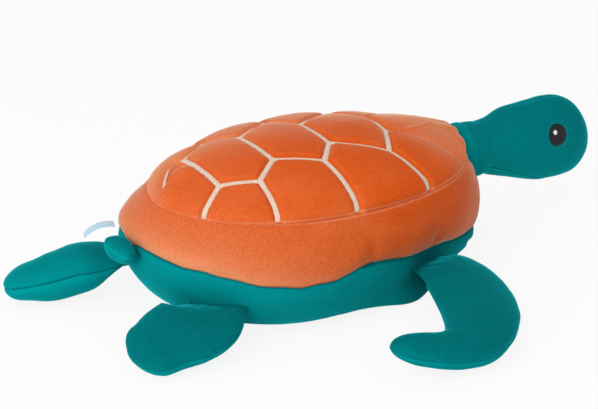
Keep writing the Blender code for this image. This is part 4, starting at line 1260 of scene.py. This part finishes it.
@dataclass
class Head:
    """The head and neck: two side panels, a throat gusset and stitched eyes."""

    shape: BodyShape
    wardrobe: Wardrobe
    neck_height: float = 0.0434
    neck_width: float = 0.043
    neck_root: float = 1.27
    reach: float = 0.1258
    height: float = 0.0696
    width: float = 0.056
    gusset_width: float = 0.036
    gusset_end: float = 0.83
    rows: int = 110
    side_columns: int = 40
    gusset_columns: int = 22
    crown_seam_depth: float = 0.0005
    gusset_seam_depth: float = 0.0011
    seam_reach: float = 0.0013
    hem_depth: float = 0.004
    eye_width: float = 0.0178
    eye_along: float = 0.63
    eye_above_axis: float = 0.0083
    eye_crown: float = 0.0011
    highlight_width: float = 0.0042
    highlight_offset: float = 0.0027
    blend_start: float = 0.139
    blend_end: float = 0.178

    def __post_init__(self) -> None:
        """Lists the stations that the head's rings pass through."""
        root = self.neck_root * max(self.neck_height, self.neck_width) / 2
        stations = []
        for angle, slim in ((0, 1.0), (30, 0.98), (60, 0.9), (88, 0.825), (118, 0.92)):
            across = slim * root * math.sin(math.radians(angle))
            stations.append((-root * math.cos(math.radians(angle)), 0.0, across, across))
        for along, drop, growth in ((0.15, 0.0, 0.0), (0.25, -0.01, 0.19), (0.36, 0.0, 0.54), (0.47, -0.02, 0.77)):
            high = self.neck_height + (self.height - self.neck_height) * growth
            wide = self.neck_width + (self.width - self.neck_width) * growth
            stations.append((along * self.reach, drop * self.height, high / 2, wide / 2))
        for along, drop, high, wide in (
            (0.58, -0.036, 0.975, 0.985), (0.68, -0.036, 1.0, 1.0), (0.78, -0.042, 0.98, 0.95),
            (0.87, -0.063, 0.88, 0.81), (0.94, -0.098, 0.63, 0.59), (0.982, -0.12, 0.36, 0.34),
        ):
            half = (high * self.height / 2, wide * self.width / 2)
            stations.append((along * self.reach, drop * self.height, *half))
        stations.append((self.reach, -0.125 * self.height, 0.0, 0.0))
        self.stations = np.array(stations)
        self.pivot = self.shape.neck_pivot()

    def section(self, spot: Array) -> Array:
        """Place along, middle height and half sizes at these spots of the list of stations."""
        last = len(self.stations) - 1
        index = np.clip(spot.astype(int), 0, last - 1)
        t = (spot - index)[..., None]
        p, q = self.stations[index], self.stations[index + 1]
        before = np.where((index > 0)[..., None], self.stations[np.maximum(index - 1, 0)], 2 * p - q)
        beyond = np.where((index + 2 <= last)[..., None], self.stations[np.minimum(index + 2, last)], 2 * q - p)
        curve = 2 * p + (q - before) * t + (2 * before - 5 * p + 4 * q - beyond) * t**2
        place = (curve + (3 * p - before - 3 * q + beyond) * t**3) / 2
        place[..., 2:] = np.maximum(place[..., 2:], 0.0)
        return place

    def surface(self, spot: Array, angle: Array) -> Array:
        """Points of the head's skin. Angle 0 is the crown, and a half turn is the throat."""
        station = self.section(spot)
        across = station[..., 3] * np.sin(angle)
        rise = station[..., 1] + station[..., 2] * np.cos(angle)
        return self.pivot + np.stack([station[..., 0], across, rise], -1)

    def seam_angle(self, spot: Array) -> Array:
        """The angle from the crown at which the throat gusset's seam lies."""
        station = self.section(spot)
        left = 1 - np.maximum(station[..., 0], 0) / (self.gusset_end * self.reach)
        half = self.gusset_width / 2 * np.sqrt(np.clip(1.6 * left, 0, 1))
        share = np.clip(half / np.maximum(station[..., 3], 1e-6), 0, 0.9)
        return np.pi - np.arcsin(share)

    def angles(self, spot: Array) -> Array:
        """The columns' angles in each ring: one side, the gusset and the other side."""
        seam = self.seam_angle(spot)[:, None]
        side = seam * np.linspace(0, 1, self.side_columns + 1)[None, :-1]
        under = seam + 2 * (np.pi - seam) * np.linspace(0, 1, self.gusset_columns + 1)[None, :-1]
        back = 2 * np.pi - seam + seam * np.linspace(0, 1, self.side_columns + 1)[None]
        return np.concatenate([side, under, back], axis=1)

    def skin(self) -> tuple[Array, Array, Array]:
        """The head's points with its seams and folds, and their shares of painted highlight and painted shade."""
        last = len(self.stations) - 1
        spot = np.linspace(0.6, last, self.rows)
        angle = self.angles(spot)
        spots = np.repeat(spot[:, None], angle.shape[1], axis=1)
        points = self.surface(spots, angle)
        step = 0.02
        around = self.surface(spots, angle + step) - self.surface(spots, angle - step)
        near = np.clip(spots - step, 0, last)
        far = np.clip(spots + step, 0, last)
        along = self.surface(far, angle) - self.surface(near, angle)
        normals = unit(np.cross(around, along))
        normals[-1] = (1, 0, 0)
        facing = (normals[..., 1] * np.sin(angle) + normals[..., 2] * np.cos(angle)).mean()
        normals = normals if facing > 0 else -normals
        station = self.section(spots)
        size = np.sqrt(station[..., 2] * station[..., 3]) + 1e-6
        turned = np.minimum(angle, 2 * np.pi - angle)
        seam = self.seam_angle(spots)
        to_crown = turned * size
        to_gusset = np.abs(turned - seam) * size
        ended = ramp(station[..., 0], (self.gusset_end - 0.02) * self.reach, (self.gusset_end + 0.01) * self.reach)
        to_gusset = np.where(ended > 0.5, (np.pi - turned) * size, to_gusset)
        lift = -self.crown_seam_depth * np.exp(-to_crown / self.seam_reach)
        lift -= self.gusset_seam_depth * np.exp(-to_gusset / self.seam_reach)
        beside = np.exp(-((to_crown / 0.009) ** 2)) + np.exp(-((to_gusset / 0.009) ** 2))
        stretched = points * (1.0, 0.3, 0.3)
        lift += 0.0002 * ripple(stretched, 0.011, 11.0) * beside
        lift += 0.0004 * ripple(points, 0.035, 12.0, 2)
        lift += self.neck_folds(points, station, angle)
        lift -= self.eye_dimple(points)
        lift *= ramp(station[..., 2], 0.0, 0.004)
        lift += 0.0004 * ramp(station[..., 2], 0.0, 0.004)
        # Painted highlights along the crown and gusset seams, round each eye and on the neck's root roll.
        below = np.where(turned > seam, 0.5, 0.2)
        worn = 0.25 * np.exp(-to_crown / 0.003) + below * np.exp(-to_gusset / 0.003)
        worn += 0.7 * self.eye_rim(points) + 0.1
        # Painted light from below: lighter towards the throat and on the gusset.
        self.painted_light_share = 0.28 + 0.35 * np.clip(turned / seam, 0, 1) ** 2 + 0.6 * (turned > seam)
        worn += 0.6 * ramp(0.004 - station[..., 0], 0.0, 0.002)
        # Painted shade in the crown and gusset seams.
        crease = 0.4 * np.exp(-((to_crown / 0.0008) ** 2)) + 0.9 * np.exp(-((to_gusset / 0.0008) ** 2))
        points = points + normals * lift[..., None]
        return points, np.clip(worn, 0, 1), np.clip(crease, 0, 1)

    def neck_folds(self, points: Array, station: Array, angle: Array) -> Array:
        """The rolled strip at the neck's root and the creases in front of it."""
        along = station[..., 0]
        sway = 0.0012 * np.sin(angle * 2 + 0.6) + 0.0006 * ripple(points, 0.02, 14.0)
        roll = 0.0006 * np.exp(-(((along + 0.0005 - sway) / 0.003) ** 2))
        crease = 0.0009 * np.exp(-(((along - 0.0045 - sway) / 0.0012) ** 2))
        soft = 0.0004 * np.exp(-(((along - 0.019 - 2 * sway) / 0.004) ** 2))
        under = ramp(np.abs(np.sin(angle / 2)), 0.3, 0.95)
        return roll - crease - soft * under

    def eye_places(self) -> Array:
        """The middle of each eye's disc, left and right, without its height over the cloth."""
        x = self.pivot[0] + self.eye_along * self.reach
        return np.array([(x, 1.0, self.pivot[2] + self.eye_above_axis), (x, -1.0, self.pivot[2] + self.eye_above_axis)])

    def eye_distance(self, points: Array) -> Array:
        """How far points of the head's sides lie from the nearer eye's middle, seen from the side."""
        x, _, z = self.eye_places()[0]
        return np.hypot(points[..., 0] - x, points[..., 2] - z) + np.where(np.abs(points[..., 1]) < 0.012, 1.0, 0.0)

    def eye_dimple(self, points: Array) -> Array:
        """How far the eye's stitches pull the cloth in."""
        away = self.eye_distance(points)
        return 0.0007 * (1 - ramp(away, self.eye_width / 2 - 0.0004, self.eye_width / 2 + 0.0025))

    def eye_rim(self, points: Array) -> Array:
        """The ring round each eye whose pile is painted lighter."""
        away = self.eye_distance(points)
        return np.exp(-(((away - self.eye_width / 2 - 0.0008) / 0.0012) ** 2))

    def hemmed(self, points: Array, axis: int) -> Array:
        """The panel with a hidden hem turned towards the head's middle line."""
        first = np.take(points, [0], axis=axis)
        last = np.take(points, [-1], axis=axis)
        target = np.array([0.0, 0.0, self.pivot[2] - 0.003])
        hems = []
        for edge in (first, last):
            aim = np.where(np.array([False, True, True]), target, edge)
            away = np.linalg.norm(aim - edge, axis=-1, keepdims=True)
            hems.append(edge + unit(aim - edge) * np.minimum(self.hem_depth, 0.6 * away))
        return np.concatenate([hems[0], points, hems[1]], axis=axis)

    def build(self) -> None:
        """Makes the side panels, the gusset and the eyes."""
        points, worn, crease = self.skin()
        left = slice(0, self.side_columns + 1)
        under = slice(self.side_columns, self.side_columns + self.gusset_columns + 1)
        right = slice(self.side_columns + self.gusset_columns, None)
        station = self.section(np.linspace(0.6, len(self.stations) - 1, self.rows))
        tip = int(np.argmax(station[:, 0] >= self.gusset_end * self.reach)) + 1
        parts = (
            ("head_side_cloth_left", left, self.rows, ("head_side_panel_left",)),
            ("head_side_cloth_right", right, self.rows, ("head_side_panel_right",)),
            ("throat_cloth", under, tip, ("throat_gusset", "head_filling")),
        )
        for name, columns, rows, nodes in parts:
            cloth = ClothMesh(name)
            places = self.hemmed(points[:rows, columns], axis=1)
            pad = ((0, 0), (1, 1))
            # The hidden hems are painted fully into shade.
            cloth.add_grid(
                places,
                dust=np.pad(self.painted_light_share[:rows, columns], pad, mode="edge"),
                worn=np.pad(worn[:rows, columns], pad, mode="edge"),
                crease=np.pad(crease[:rows, columns], pad, constant_values=1.0),
            )
            thing = cloth.finish(self.wardrobe.teal, self.pivot + (0.05, 0, 0))
            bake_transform(thing)
            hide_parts(*nodes)
            LOG.info("made %s", name)
        self.build_eyes()

    def side_out(self, x: Array, z: Array) -> Array:
        """How far out the head's side is at these places."""
        spots = np.linspace(4, len(self.stations) - 1, 400)
        stations = self.section(spots)
        along = x - self.pivot[0]
        middle = np.interp(along, stations[:, 0], stations[:, 1])
        half_height = np.interp(along, stations[:, 0], stations[:, 2])
        half_width = np.interp(along, stations[:, 0], stations[:, 3])
        share = np.clip((z - self.pivot[2] - middle) / half_height, -1, 1)
        return half_width * np.sqrt(1 - share**2)

    def patch(self, centre: tuple[float, float], outline: Array, side: int, crown: float,
              lift: float) -> tuple[Array, Array]:
        """A stitched patch on one side of the head, rounded like satin stitch over padding.

        Args:
            centre: The patch's x and z.
            outline: Its outline's x and z steps round the centre.
            side: 1 for the left and -1 for the right.
            crown: How far its middle stands above its edge.
            lift: How far its edge stands above the cloth.

        Returns:
            Points in rings from the middle to a hem below the cloth, and how near the edge each is.
        """
        rings, edges = [], []
        shares = [0.0, 0.15, 0.3, 0.45, 0.6, 0.72, 0.82, 0.9, 0.96, 1.0, 1.0]
        for number, share in enumerate(shares):
            x = centre[0] + outline[:, 0] * share
            z = centre[1] + outline[:, 1] * share
            height = lift + crown * math.sqrt(max(0.0, 1 - share**3.2))
            if number == len(shares) - 1:
                height = -0.0012
            out = self.side_out(x, z) + height
            rings.append(np.stack([x, side * out, z], -1))
            edges.append(np.full(len(x), share**6))
        return np.array(rings), np.array(edges)

    def build_eyes(self) -> None:
        """Makes the stitched eyes with their highlights."""
        turn = np.linspace(0, 2 * np.pi, 64, endpoint=False)
        ragged = self.eye_width / 2 * (1 + 0.012 * np.sin(23 * turn) + 0.01 * np.sin(9 * turn + 1))
        disc = np.stack([ragged * np.cos(turn), ragged * np.sin(turn)], -1)
        corner = np.pi / 2 + 2 * np.pi * np.arange(6) / 5
        knots = self.highlight_width / 2 * np.stack([np.cos(corner), np.sin(corner)], -1)
        shares = np.linspace(0, 1, 9)[:-1, None]
        spark = np.concatenate([a + (b - a) * shares for a, b in zip(knots, knots[1:])])
        x, _, z = self.eye_places()[0]
        offset = self.highlight_offset
        for name, side in (("left", 1), ("right", -1)):
            for kind, spot, outline, crown, lift, finish, slot, node in (
                ("eye_stitching_", (x, z), disc, self.eye_crown, 0.0, self.wardrobe.black, Slot.BLACK, "eye_"),
                ("eye_spark_", (x - offset, z + offset), spark, 0.0003, self.eye_crown * 0.93,
                 self.wardrobe.white, Slot.WHITE, "eye_highlight_"),
            ):
                points, edge = self.patch(spot, outline, side, crown, lift)
                cloth = ClothMesh(kind + name)
                # Both patches are painted darker towards their edges, as shade.
                cloth.add_grid(points, wraps=True, crease=edge * 0.6, worn=edge * 0)
                thing = cloth.finish(finish, self.pivot + (0.05, 0, 0))
                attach(thing, "head")
                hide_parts(node + name)
                LOG.info("made %s", thing.name)


# ---------------------------------------------------------------- limbs


@dataclass
class Limb:
    """A flat stuffed limb of two panels, sewn round its rim and into the body at its root."""

    name: str
    body: str
    side: int
    outline: tuple[tuple[float, float, float, float], ...]
    reach: float
    width: float
    thickness: float
    turn_share: float
    root_height: float
    droop: float
    shape: BodyShape
    wardrobe: Wardrobe
    twist: float = 0.0
    rows: int = 84
    half_columns: int = 34
    root_rows: int = 5
    root_sink: float = 0.007
    rim_depth: float = 0.0012
    rim_reach: float = 0.0015
    pucker: float = 0.0002
    slack: float = 0.0005
    pleat: float = 0.0002
    hem_depth: float = 0.0035
    rim_shade: float = 0.8
    # Share of painted light and sheen over the whole limb.
    painted_light_share: float = 0.05
    root_shade: float = 0.5
    rounded_from: float = 0.8
    fill: float = 0.75
    bend_reach: float = 0.024
    seed: float = 1.0
    creases: tuple[Fold, ...] = ()

    def frame(self) -> Matrix:
        """The frame at the root: x outwards and drooping, y along the body, z up."""
        turn = -math.pi * self.turn_share
        seam = self.shape.belly_seam(np.array(turn))
        climb = math.acos(max(-1.0, 1 - self.root_height / seam[2]))
        step = math.radians(1)
        along = self.shape.belly_seam(np.array(turn + step)) - self.shape.belly_seam(np.array(turn - step))
        along = along[:2] / np.linalg.norm(along[:2])
        outward = Vector((along[1], -along[0], 0))
        root = Vector(self.shape.belly(np.array(turn), np.array(climb))) + outward * 2.5 * FABRIC_GAP
        down = outward * math.cos(self.droop) - Vector((0, 0, math.sin(self.droop)))
        if self.side > 0:
            root.y, down.y = -root.y, -down.y
        rise = Vector((0, 0, 1)) - down * down.z
        rise.normalize()
        made = Matrix((down, rise.cross(down), rise)).transposed().to_4x4()
        made.translation = root
        return made

    def path(self, share: float) -> Array:
        """Outward, forward, width and thickness shares on the smooth line of the limb."""
        points = np.array(self.outline)
        spans = len(points) - 1
        index = min(int(share * spans), spans - 1)
        t = share * spans - index
        p, q = points[index], points[index + 1]
        before = points[index - 1] if index > 0 else 2 * p - q
        beyond = points[index + 2] if index + 2 <= spans else 2 * q - p
        curve = 2 * p + (q - before) * t + (2 * before - 5 * p + 4 * q - beyond) * t**2
        return (curve + (3 * p - before - 3 * q + beyond) * t**3) / 2

    def rings(self) -> tuple[Array, Array]:
        """The limb's rings in its own frame, and each ring's share of the way to the tip."""
        count = 2 * self.half_columns
        angle = 2 * np.pi * np.arange(count) / count
        angle = angle - 0.22 * np.sin(2 * angle)
        rings, shares, middles = [], [], []
        for step in range(self.rows + 1):
            share = 1 - (1 - step / self.rows) ** 1.6
            out, forward, wide, thick = self.path(share)
            ahead, behind = self.path(min(1.0, share + 0.01)), self.path(max(0.0, share - 0.01))
            line = unit((ahead - behind)[:2])
            turned = min(1.0, share / 0.4)
            across = unit(np.array([0.0, 1.0]) * (1 - turned) + np.array([-line[1], line[0]]) * turned)
            rounding = max(0.0, (share - self.rounded_from) / (1 - self.rounded_from))
            close = math.sqrt(max(0.0, 1 - rounding**2))
            centre = np.array([out, forward]) * self.reach
            full = np.sign(np.sin(angle)) * np.abs(np.sin(angle)) ** 0.9
            level = wide * self.width / 2 * close * np.cos(angle)
            lift = thick * self.thickness / 2 * close * full
            cos, sin = math.cos(self.twist * turned), math.sin(self.twist * turned)
            level, lift = level * cos - lift * sin, level * sin + lift * cos
            plan = centre + across * level[:, None]
            rings.append(np.stack([plan[:, 0], plan[:, 1], lift], -1))
            middles.append((centre[0], centre[1], 0.0))
            shares.append(share)
        first = rings[0]
        for step in range(1, self.root_rows + 1):
            sunk = first.copy()
            sunk[:, 0] -= self.root_sink * step / self.root_rows
            rings.insert(0, sunk)
            middles.insert(0, tuple(sunk.mean(axis=0)))
            shares.insert(0, 0.0)
        self.middles = np.array(middles)
        return np.array(rings), np.array(shares)

    def skin(self) -> tuple[Array, Array, Array]:
        """The limb's points with its rim seam, puckers and creases, in its own frame, and their shares of painted
        highlight and painted shade.
        """
        points, shares = self.rings()
        normals = grid_normals(points, True, self.middles)
        steps = np.linalg.norm(np.roll(points, -1, axis=1) - points, axis=-1)
        reach = np.concatenate([np.zeros((len(points), 1)), np.cumsum(steps, axis=1)], axis=1)
        half = reach[:, self.half_columns : self.half_columns + 1]
        total = reach[:, -1:]
        place = reach[:, :-1]
        to_rim = np.minimum(np.minimum(place, total - place), np.abs(place - half))
        tip = ramp(np.linalg.norm(points - points[-1, 0], axis=-1), 0.0, 0.002)[..., None]
        normals = unit(normals * tip + np.array([0.0, 0.0, 1e-6]))
        outer = np.minimum(half / 2, 0.02) / 0.02
        lift = -self.rim_depth * np.exp(-to_rim / self.rim_reach)
        beside = np.exp(-((to_rim / 0.0075) ** 2)) * ramp(to_rim, 0.0, 0.0015)
        flat = points.copy()
        flat[..., 2] *= 0.4
        lift += self.pucker * ripple(flat, 0.011, self.seed, 2) * beside
        lift += self.slack * ripple(points, 0.032, self.seed + 20, 2) * outer
        lift += 0.0001 * ripple(points, 0.01, self.seed + 30)
        lift += self.root_pleats(points)
        upper = np.arange(points.shape[1])[None] <= self.half_columns
        for crease in self.creases:
            lift += np.where(upper, crease.press(points[..., :2]), 0.0)
        lift *= ramp(np.linalg.norm(points - points[-1, 0], axis=-1), 0.0, 0.003)
        # Painted sheen highlight along the rim.
        worn = 0.55 * np.exp(-to_rim / 0.007) * ramp(shares, -0.1, 0.5)[:, None]
        # Painted shade in the rim seam and along the root, where the limb meets the body.
        painted_rim_and_root_shade = self.rim_shade * np.exp(-((to_rim / 0.0009) ** 2))
        painted_rim_and_root_shade = painted_rim_and_root_shade + self.root_shade * np.exp(-((np.maximum(points[..., 0], 0) / 0.006) ** 2))
        return points + normals * lift[..., None], np.clip(worn, 0, 1), np.clip(painted_rim_and_root_shade, 0, 1)

    def hemmed(self, edge: Array, middles: Array) -> Array:
        """The hidden hem of a panel's edge, turned towards the middle of each ring."""
        away = np.linalg.norm(middles - edge, axis=-1, keepdims=True)
        return edge + unit(middles - edge) * np.minimum(self.hem_depth, 0.6 * away)

    def root_pleats(self, points: Array) -> Array:
        """Small pleats that fan out from the root seam."""
        fan = np.sin(points[..., 1] * 2 * np.pi / 0.0135 + 2.0 * ripple(points, 0.03, self.seed + 40))
        return self.pleat * fan * np.exp(-(((points[..., 0] - 0.004) / 0.014) ** 2))

    def build(self) -> None:
        """Makes the upper and lower panels, their roots sunk into the body."""
        points, worn, crease = self.skin()
        points = points * (1, -self.side, 1)
        world = np.array(self.frame())
        places = points @ world[:3, :3].T + world[:3, 3]
        places[..., 2] = np.maximum(places[..., 2], 0.0006)
        inner = (self.middles * (1, -self.side, 1)) @ world[:3, :3].T + world[:3, 3]
        half = self.half_columns
        for kind, columns, nodes in (
            ("upper", np.arange(half + 1), (f"{self.name}_upper_panel", f"{self.name}_filling")),
            ("lower", np.arange(half, 2 * half + 1) % (2 * half), (f"{self.name}_lower_panel",)),
        ):
            grid = places[:, columns]
            hem = [self.hemmed(grid[:, [end]], inner[:, None]) for end in (0, -1)]
            pad = ((0, 0), (1, 1))
            cloth = ClothMesh(f"{self.name}_{kind}_cloth")
            # Painted light: the limb's share, the rim's painted sheen, and more on the lower panel, which the floor
            # lights from below.
            dust = self.painted_light_share + 0.55 * worn[:, columns] + (0.35 if kind == "lower" else 0.0)
            # The hidden hems are painted fully into shade.
            cloth.add_grid(
                np.concatenate([hem[0], grid, hem[1]], axis=1),
                dust=np.pad(dust, pad, mode="edge"),
                worn=np.pad(worn[:, columns], pad, mode="edge"),
                crease=np.pad(crease[:, columns], pad, constant_values=1.0),
            )
            thing = cloth.finish(self.wardrobe.teal, places.mean(axis=(0, 1)))
            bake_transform(thing)
            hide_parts(*nodes)
            LOG.info("made %s", thing.name)


CRESCENT = (
    (0.0, 0.03, 0.62, 0.08),
    (0.219, 0.029, 0.852, 0.85),
    (0.607, -0.2, 0.936, 1.0),
    (0.831, -0.566, 0.737, 1.0),
    (0.806, -0.858, 0.545, 0.85),
    (0.495, -1.157, 0.432, 0.7),
)
TUCKED_PADDLE = (
    (0, 0.031, 0.675, 0.075),
    (0.288, -0.109, 1.028, 0.8),
    (0.516, -0.308, 0.946, 1.0),
    (0.68, -0.43, 0.825, 0.9),
    (0.875, -0.595, 0.76, 0.74),
)
TURNED_PADDLE = (
    (0.0, 0.0, 0.66, 0.06),
    (0.29, -0.05, 0.87, 0.93),
    (0.575, -0.13, 0.8, 1.0),
    (0.79, -0.128, 0.8, 0.8),
    (1.025, -0.085, 0.7, 0.62),
)
NUB = (
    (0.0, 0.34, 0.78, 0.2),
    (0.35, 0.38, 0.94, 1.0),
    (0.7, 0.42, 0.98, 0.95),
    (1.0, 0.46, 0.84, 0.7),
)


@dataclass
class Limbs:
    """The four flippers and the tail."""

    shape: BodyShape
    wardrobe: Wardrobe

    def front(self, name: str, side: int, seed: float) -> Limb:
        """One front flipper, a crescent that sweeps back."""
        creases = (
            Fold(((0.002, 0.02), (0.012, 0.014), (0.022, 0.004)), 0.0009, 0.0018, 0.0005),
            Fold(((0.002, -0.008), (0.012, -0.006), (0.022, -0.008)), 0.0007, 0.0018, 0.0004),
        )
        return Limb(
            f"front_flipper_{name}", f"front_flipper_{name}", side, CRESCENT, 0.1, 0.065, 0.027,
            0.375, 0.029, math.radians(9), self.shape, self.wardrobe, root_shade=1.0, rounded_from=0.88,
            seed=seed, creases=creases,
        )

    def rear_creases(self) -> tuple[Fold, ...]:
        """The soft creases at a rear flipper's root."""
        return (
            Fold(((0.003, 0.012), (0.013, 0.008), (0.026, 0.008)), 0.0007, 0.002, 0.0004),
            Fold(((0.002, -0.012), (0.012, -0.01), (0.022, -0.012)), 0.0007, 0.002, 0.0004),
        )

    def build(self) -> None:
        """Makes every limb."""
        look = (self.shape, self.wardrobe)
        limbs = [
            self.front("right", -1, 51.0),
            self.front("left", 1, 57.0),
            Limb("rear_flipper_right", "rear_flipper_right", -1, TUCKED_PADDLE, 0.0717, 0.064, 0.03,
                 0.792, 0.03, math.radians(17), *look, seed=63.0, creases=self.rear_creases()),
            # The far rear flipper gets more painted light and sheen.
            Limb("rear_flipper_left", "rear_flipper_left", 1, TURNED_PADDLE, 0.0915, 0.064, 0.0366,
                 0.875, 0.03, math.radians(12), *look, twist=math.radians(-12), painted_light_share=0.5, seed=69.0,
                 creases=self.rear_creases()),
            # The tail gets some painted light and sheen.
            Limb("tail", "tail", -1, NUB, 0.0152, 0.0336, 0.0178, 1.0, 0.0565, math.radians(-19), *look,
                 rows=40, half_columns=26, root_sink=0.005, rim_depth=0.0002, pleat=0.0001, rim_shade=0.0,
                 painted_light_share=0.2, bend_reach=0.007, seed=75.0),
        ]
        for limb in limbs:
            limb.build()


@dataclass
class Ribbon:
    """The bare ribbon beside the tail."""

    shape: BodyShape
    wardrobe: Wardrobe
    length: float = 0.0257
    width: float = 0.012
    turn_share: float = 0.885
    start_slope: float = 13.0
    end_slope: float = -50.0
    rows: int = 26
    columns: int = 9

    def build(self) -> None:
        """Makes the ribbon, which rises from the seam and curls down."""
        turn = math.pi * self.turn_share
        seam = self.shape.belly_seam(np.array(turn))
        outward = unit(np.array([seam[0], seam[1], 0.0]))
        across = np.array([-outward[1], outward[0], 0.0])
        place = seam + outward * 3 * FABRIC_GAP
        spread = np.linspace(-0.5, 0.5, self.columns)
        lines, worn = [], []
        for step in range(self.rows + 1):
            share = step / self.rows
            slope = math.radians(self.start_slope + (self.end_slope - self.start_slope) * share)
            along = outward * math.cos(slope) + np.array([0.0, 0.0, math.sin(slope)])
            normal = np.cross(along, across)
            cup = 0.0005 * share * np.cos(np.pi * spread) + 0.0005 * share * spread
            line = place + across * (spread * self.width)[:, None] + normal * cup[:, None]
            lines.append(line)
            # Share towards the ribbon's edges, which the finish makes darker.
            worn.append(np.abs(spread) * 2)
            place = place + along * self.length / self.rows
        cloth = ClothMesh("bare_ribbon")
        cloth.add_grid(np.array(lines), worn=np.array(worn), crease=np.array(worn) * 0)
        thing = cloth.finish(self.wardrobe.ribbon, np.array([-0.13, 0.0, 0.03]))
        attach(thing, "ribbon")
        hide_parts("seam_ribbon")
        LOG.info("made %s", thing.name)


# ---------------------------------------------------------------- studio


@dataclass
class Studio:
    """Floor, soft lamps, white surroundings and the camera at the photograph's angle."""

    wardrobe: Wardrobe
    camera_place: tuple[float, float, float] = (-0.6109, -1.0521, 0.5552)
    camera_back: tuple[float, float, float] = (-0.4583, -0.8047, 0.3774)
    camera_right: tuple[float, float, float] = (0.869, -0.495, 0.0)
    lens: float = 102.08
    floor_size: float = 8.0
    surround_light: float = 0.62
    key_power: float = 21.0
    key_place: tuple[float, float, float] = (-1.35, -0.9, 1.1)
    key_size: float = 1.3

    def build_camera(self) -> None:
        """Places the camera."""
        back = Vector(self.camera_back).normalized()
        right = Vector(self.camera_right)
        right = (right - back * right.dot(back)).normalized()
        turned = Matrix((right, back.cross(right), back)).transposed().to_4x4()
        turned.translation = self.camera_place
        data = bpy.data.cameras.new("photo_camera")
        data.lens, data.sensor_width = self.lens, 36.0
        data.clip_start, data.clip_end = 0.05, 20.0
        camera = bpy.data.objects.new("photo_camera", data)
        camera.matrix_world = turned
        bpy.context.scene.collection.objects.link(camera)
        bpy.context.scene.camera = camera

    def build_floor(self) -> None:
        """Lays the floor."""
        half = self.floor_size / 2
        steps = np.linspace(-half, half, 9)
        grid = np.stack([*np.meshgrid(steps, steps, indexing="ij"), np.full((9, 9), -0.0002)], -1)
        cloth = ClothMesh("studio_floor")
        cloth.add_grid(grid)
        cloth.finish(self.wardrobe.floor, np.array([0.0, 0.0, -1.0]))

    def build_world(self) -> None:
        """Surrounds the object with even light, and with white where the camera looks."""
        world = bpy.data.worlds.new("studio_surround")
        bpy.context.scene.world = world
        world.use_nodes = True
        tree = world.node_tree
        tree.nodes.clear()
        output = tree.nodes.new("ShaderNodeOutputWorld")
        light = tree.nodes.new("ShaderNodeBackground")
        seen = tree.nodes.new("ShaderNodeBackground")
        light.inputs["Color"].default_value = (0.98, 0.99, 1.0, 1.0)
        light.inputs["Strength"].default_value = self.surround_light
        seen.inputs["Color"].default_value = (1.0, 1.0, 1.0, 1.0)
        seen.inputs["Strength"].default_value = 1.0
        mix = tree.nodes.new("ShaderNodeMixShader")
        tree.links.new(direct_rays(tree), mix.inputs["Fac"])
        tree.links.new(light.outputs[0], mix.inputs[1])
        tree.links.new(seen.outputs[0], mix.inputs[2])
        tree.links.new(mix.outputs[0], output.inputs["Surface"])

    def build_lamps(self) -> None:
        """Hangs the large soft key lamp to the camera's left."""
        data = bpy.data.lights.new("key_softbox", "AREA")
        data.shape = "SQUARE"
        data.size = self.key_size
        data.energy = self.key_power
        data.color = (1.0, 0.985, 0.96)
        lamp = bpy.data.objects.new("key_softbox", data)
        lamp.location = self.key_place
        aim = Vector((0.0, 0.0, 0.05)) - Vector(self.key_place)
        lamp.rotation_euler = aim.to_track_quat("-Z", "Y").to_euler()
        bpy.context.scene.collection.objects.link(lamp)

    def build(self) -> None:
        """Sets the whole studio up."""
        self.build_camera()
        self.build_floor()
        self.build_world()
        self.build_lamps()
        bpy.context.scene.view_settings.view_transform = "Standard"
        LOG.info("set the studio")


def main() -> None:
    """Builds the turtle's looks piece by piece, then the studio."""
    logging.basicConfig(level=logging.INFO, format="%(name)s: %(message)s")
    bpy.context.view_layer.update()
    shape = BodyShape()
    wardrobe = Wardrobe()
    stitching = Stitching()
    quilting = Quilting(shape, stitching)
    ShellAndBelly(shape, quilting, wardrobe).build()
    Embroidery(shape, stitching, quilting, wardrobe).build()
    Head(shape, wardrobe).build()
    Limbs(shape, wardrobe).build()
    Ribbon(shape, wardrobe).build()
    Studio(wardrobe).build()


if __name__ == "__main__":
    main()
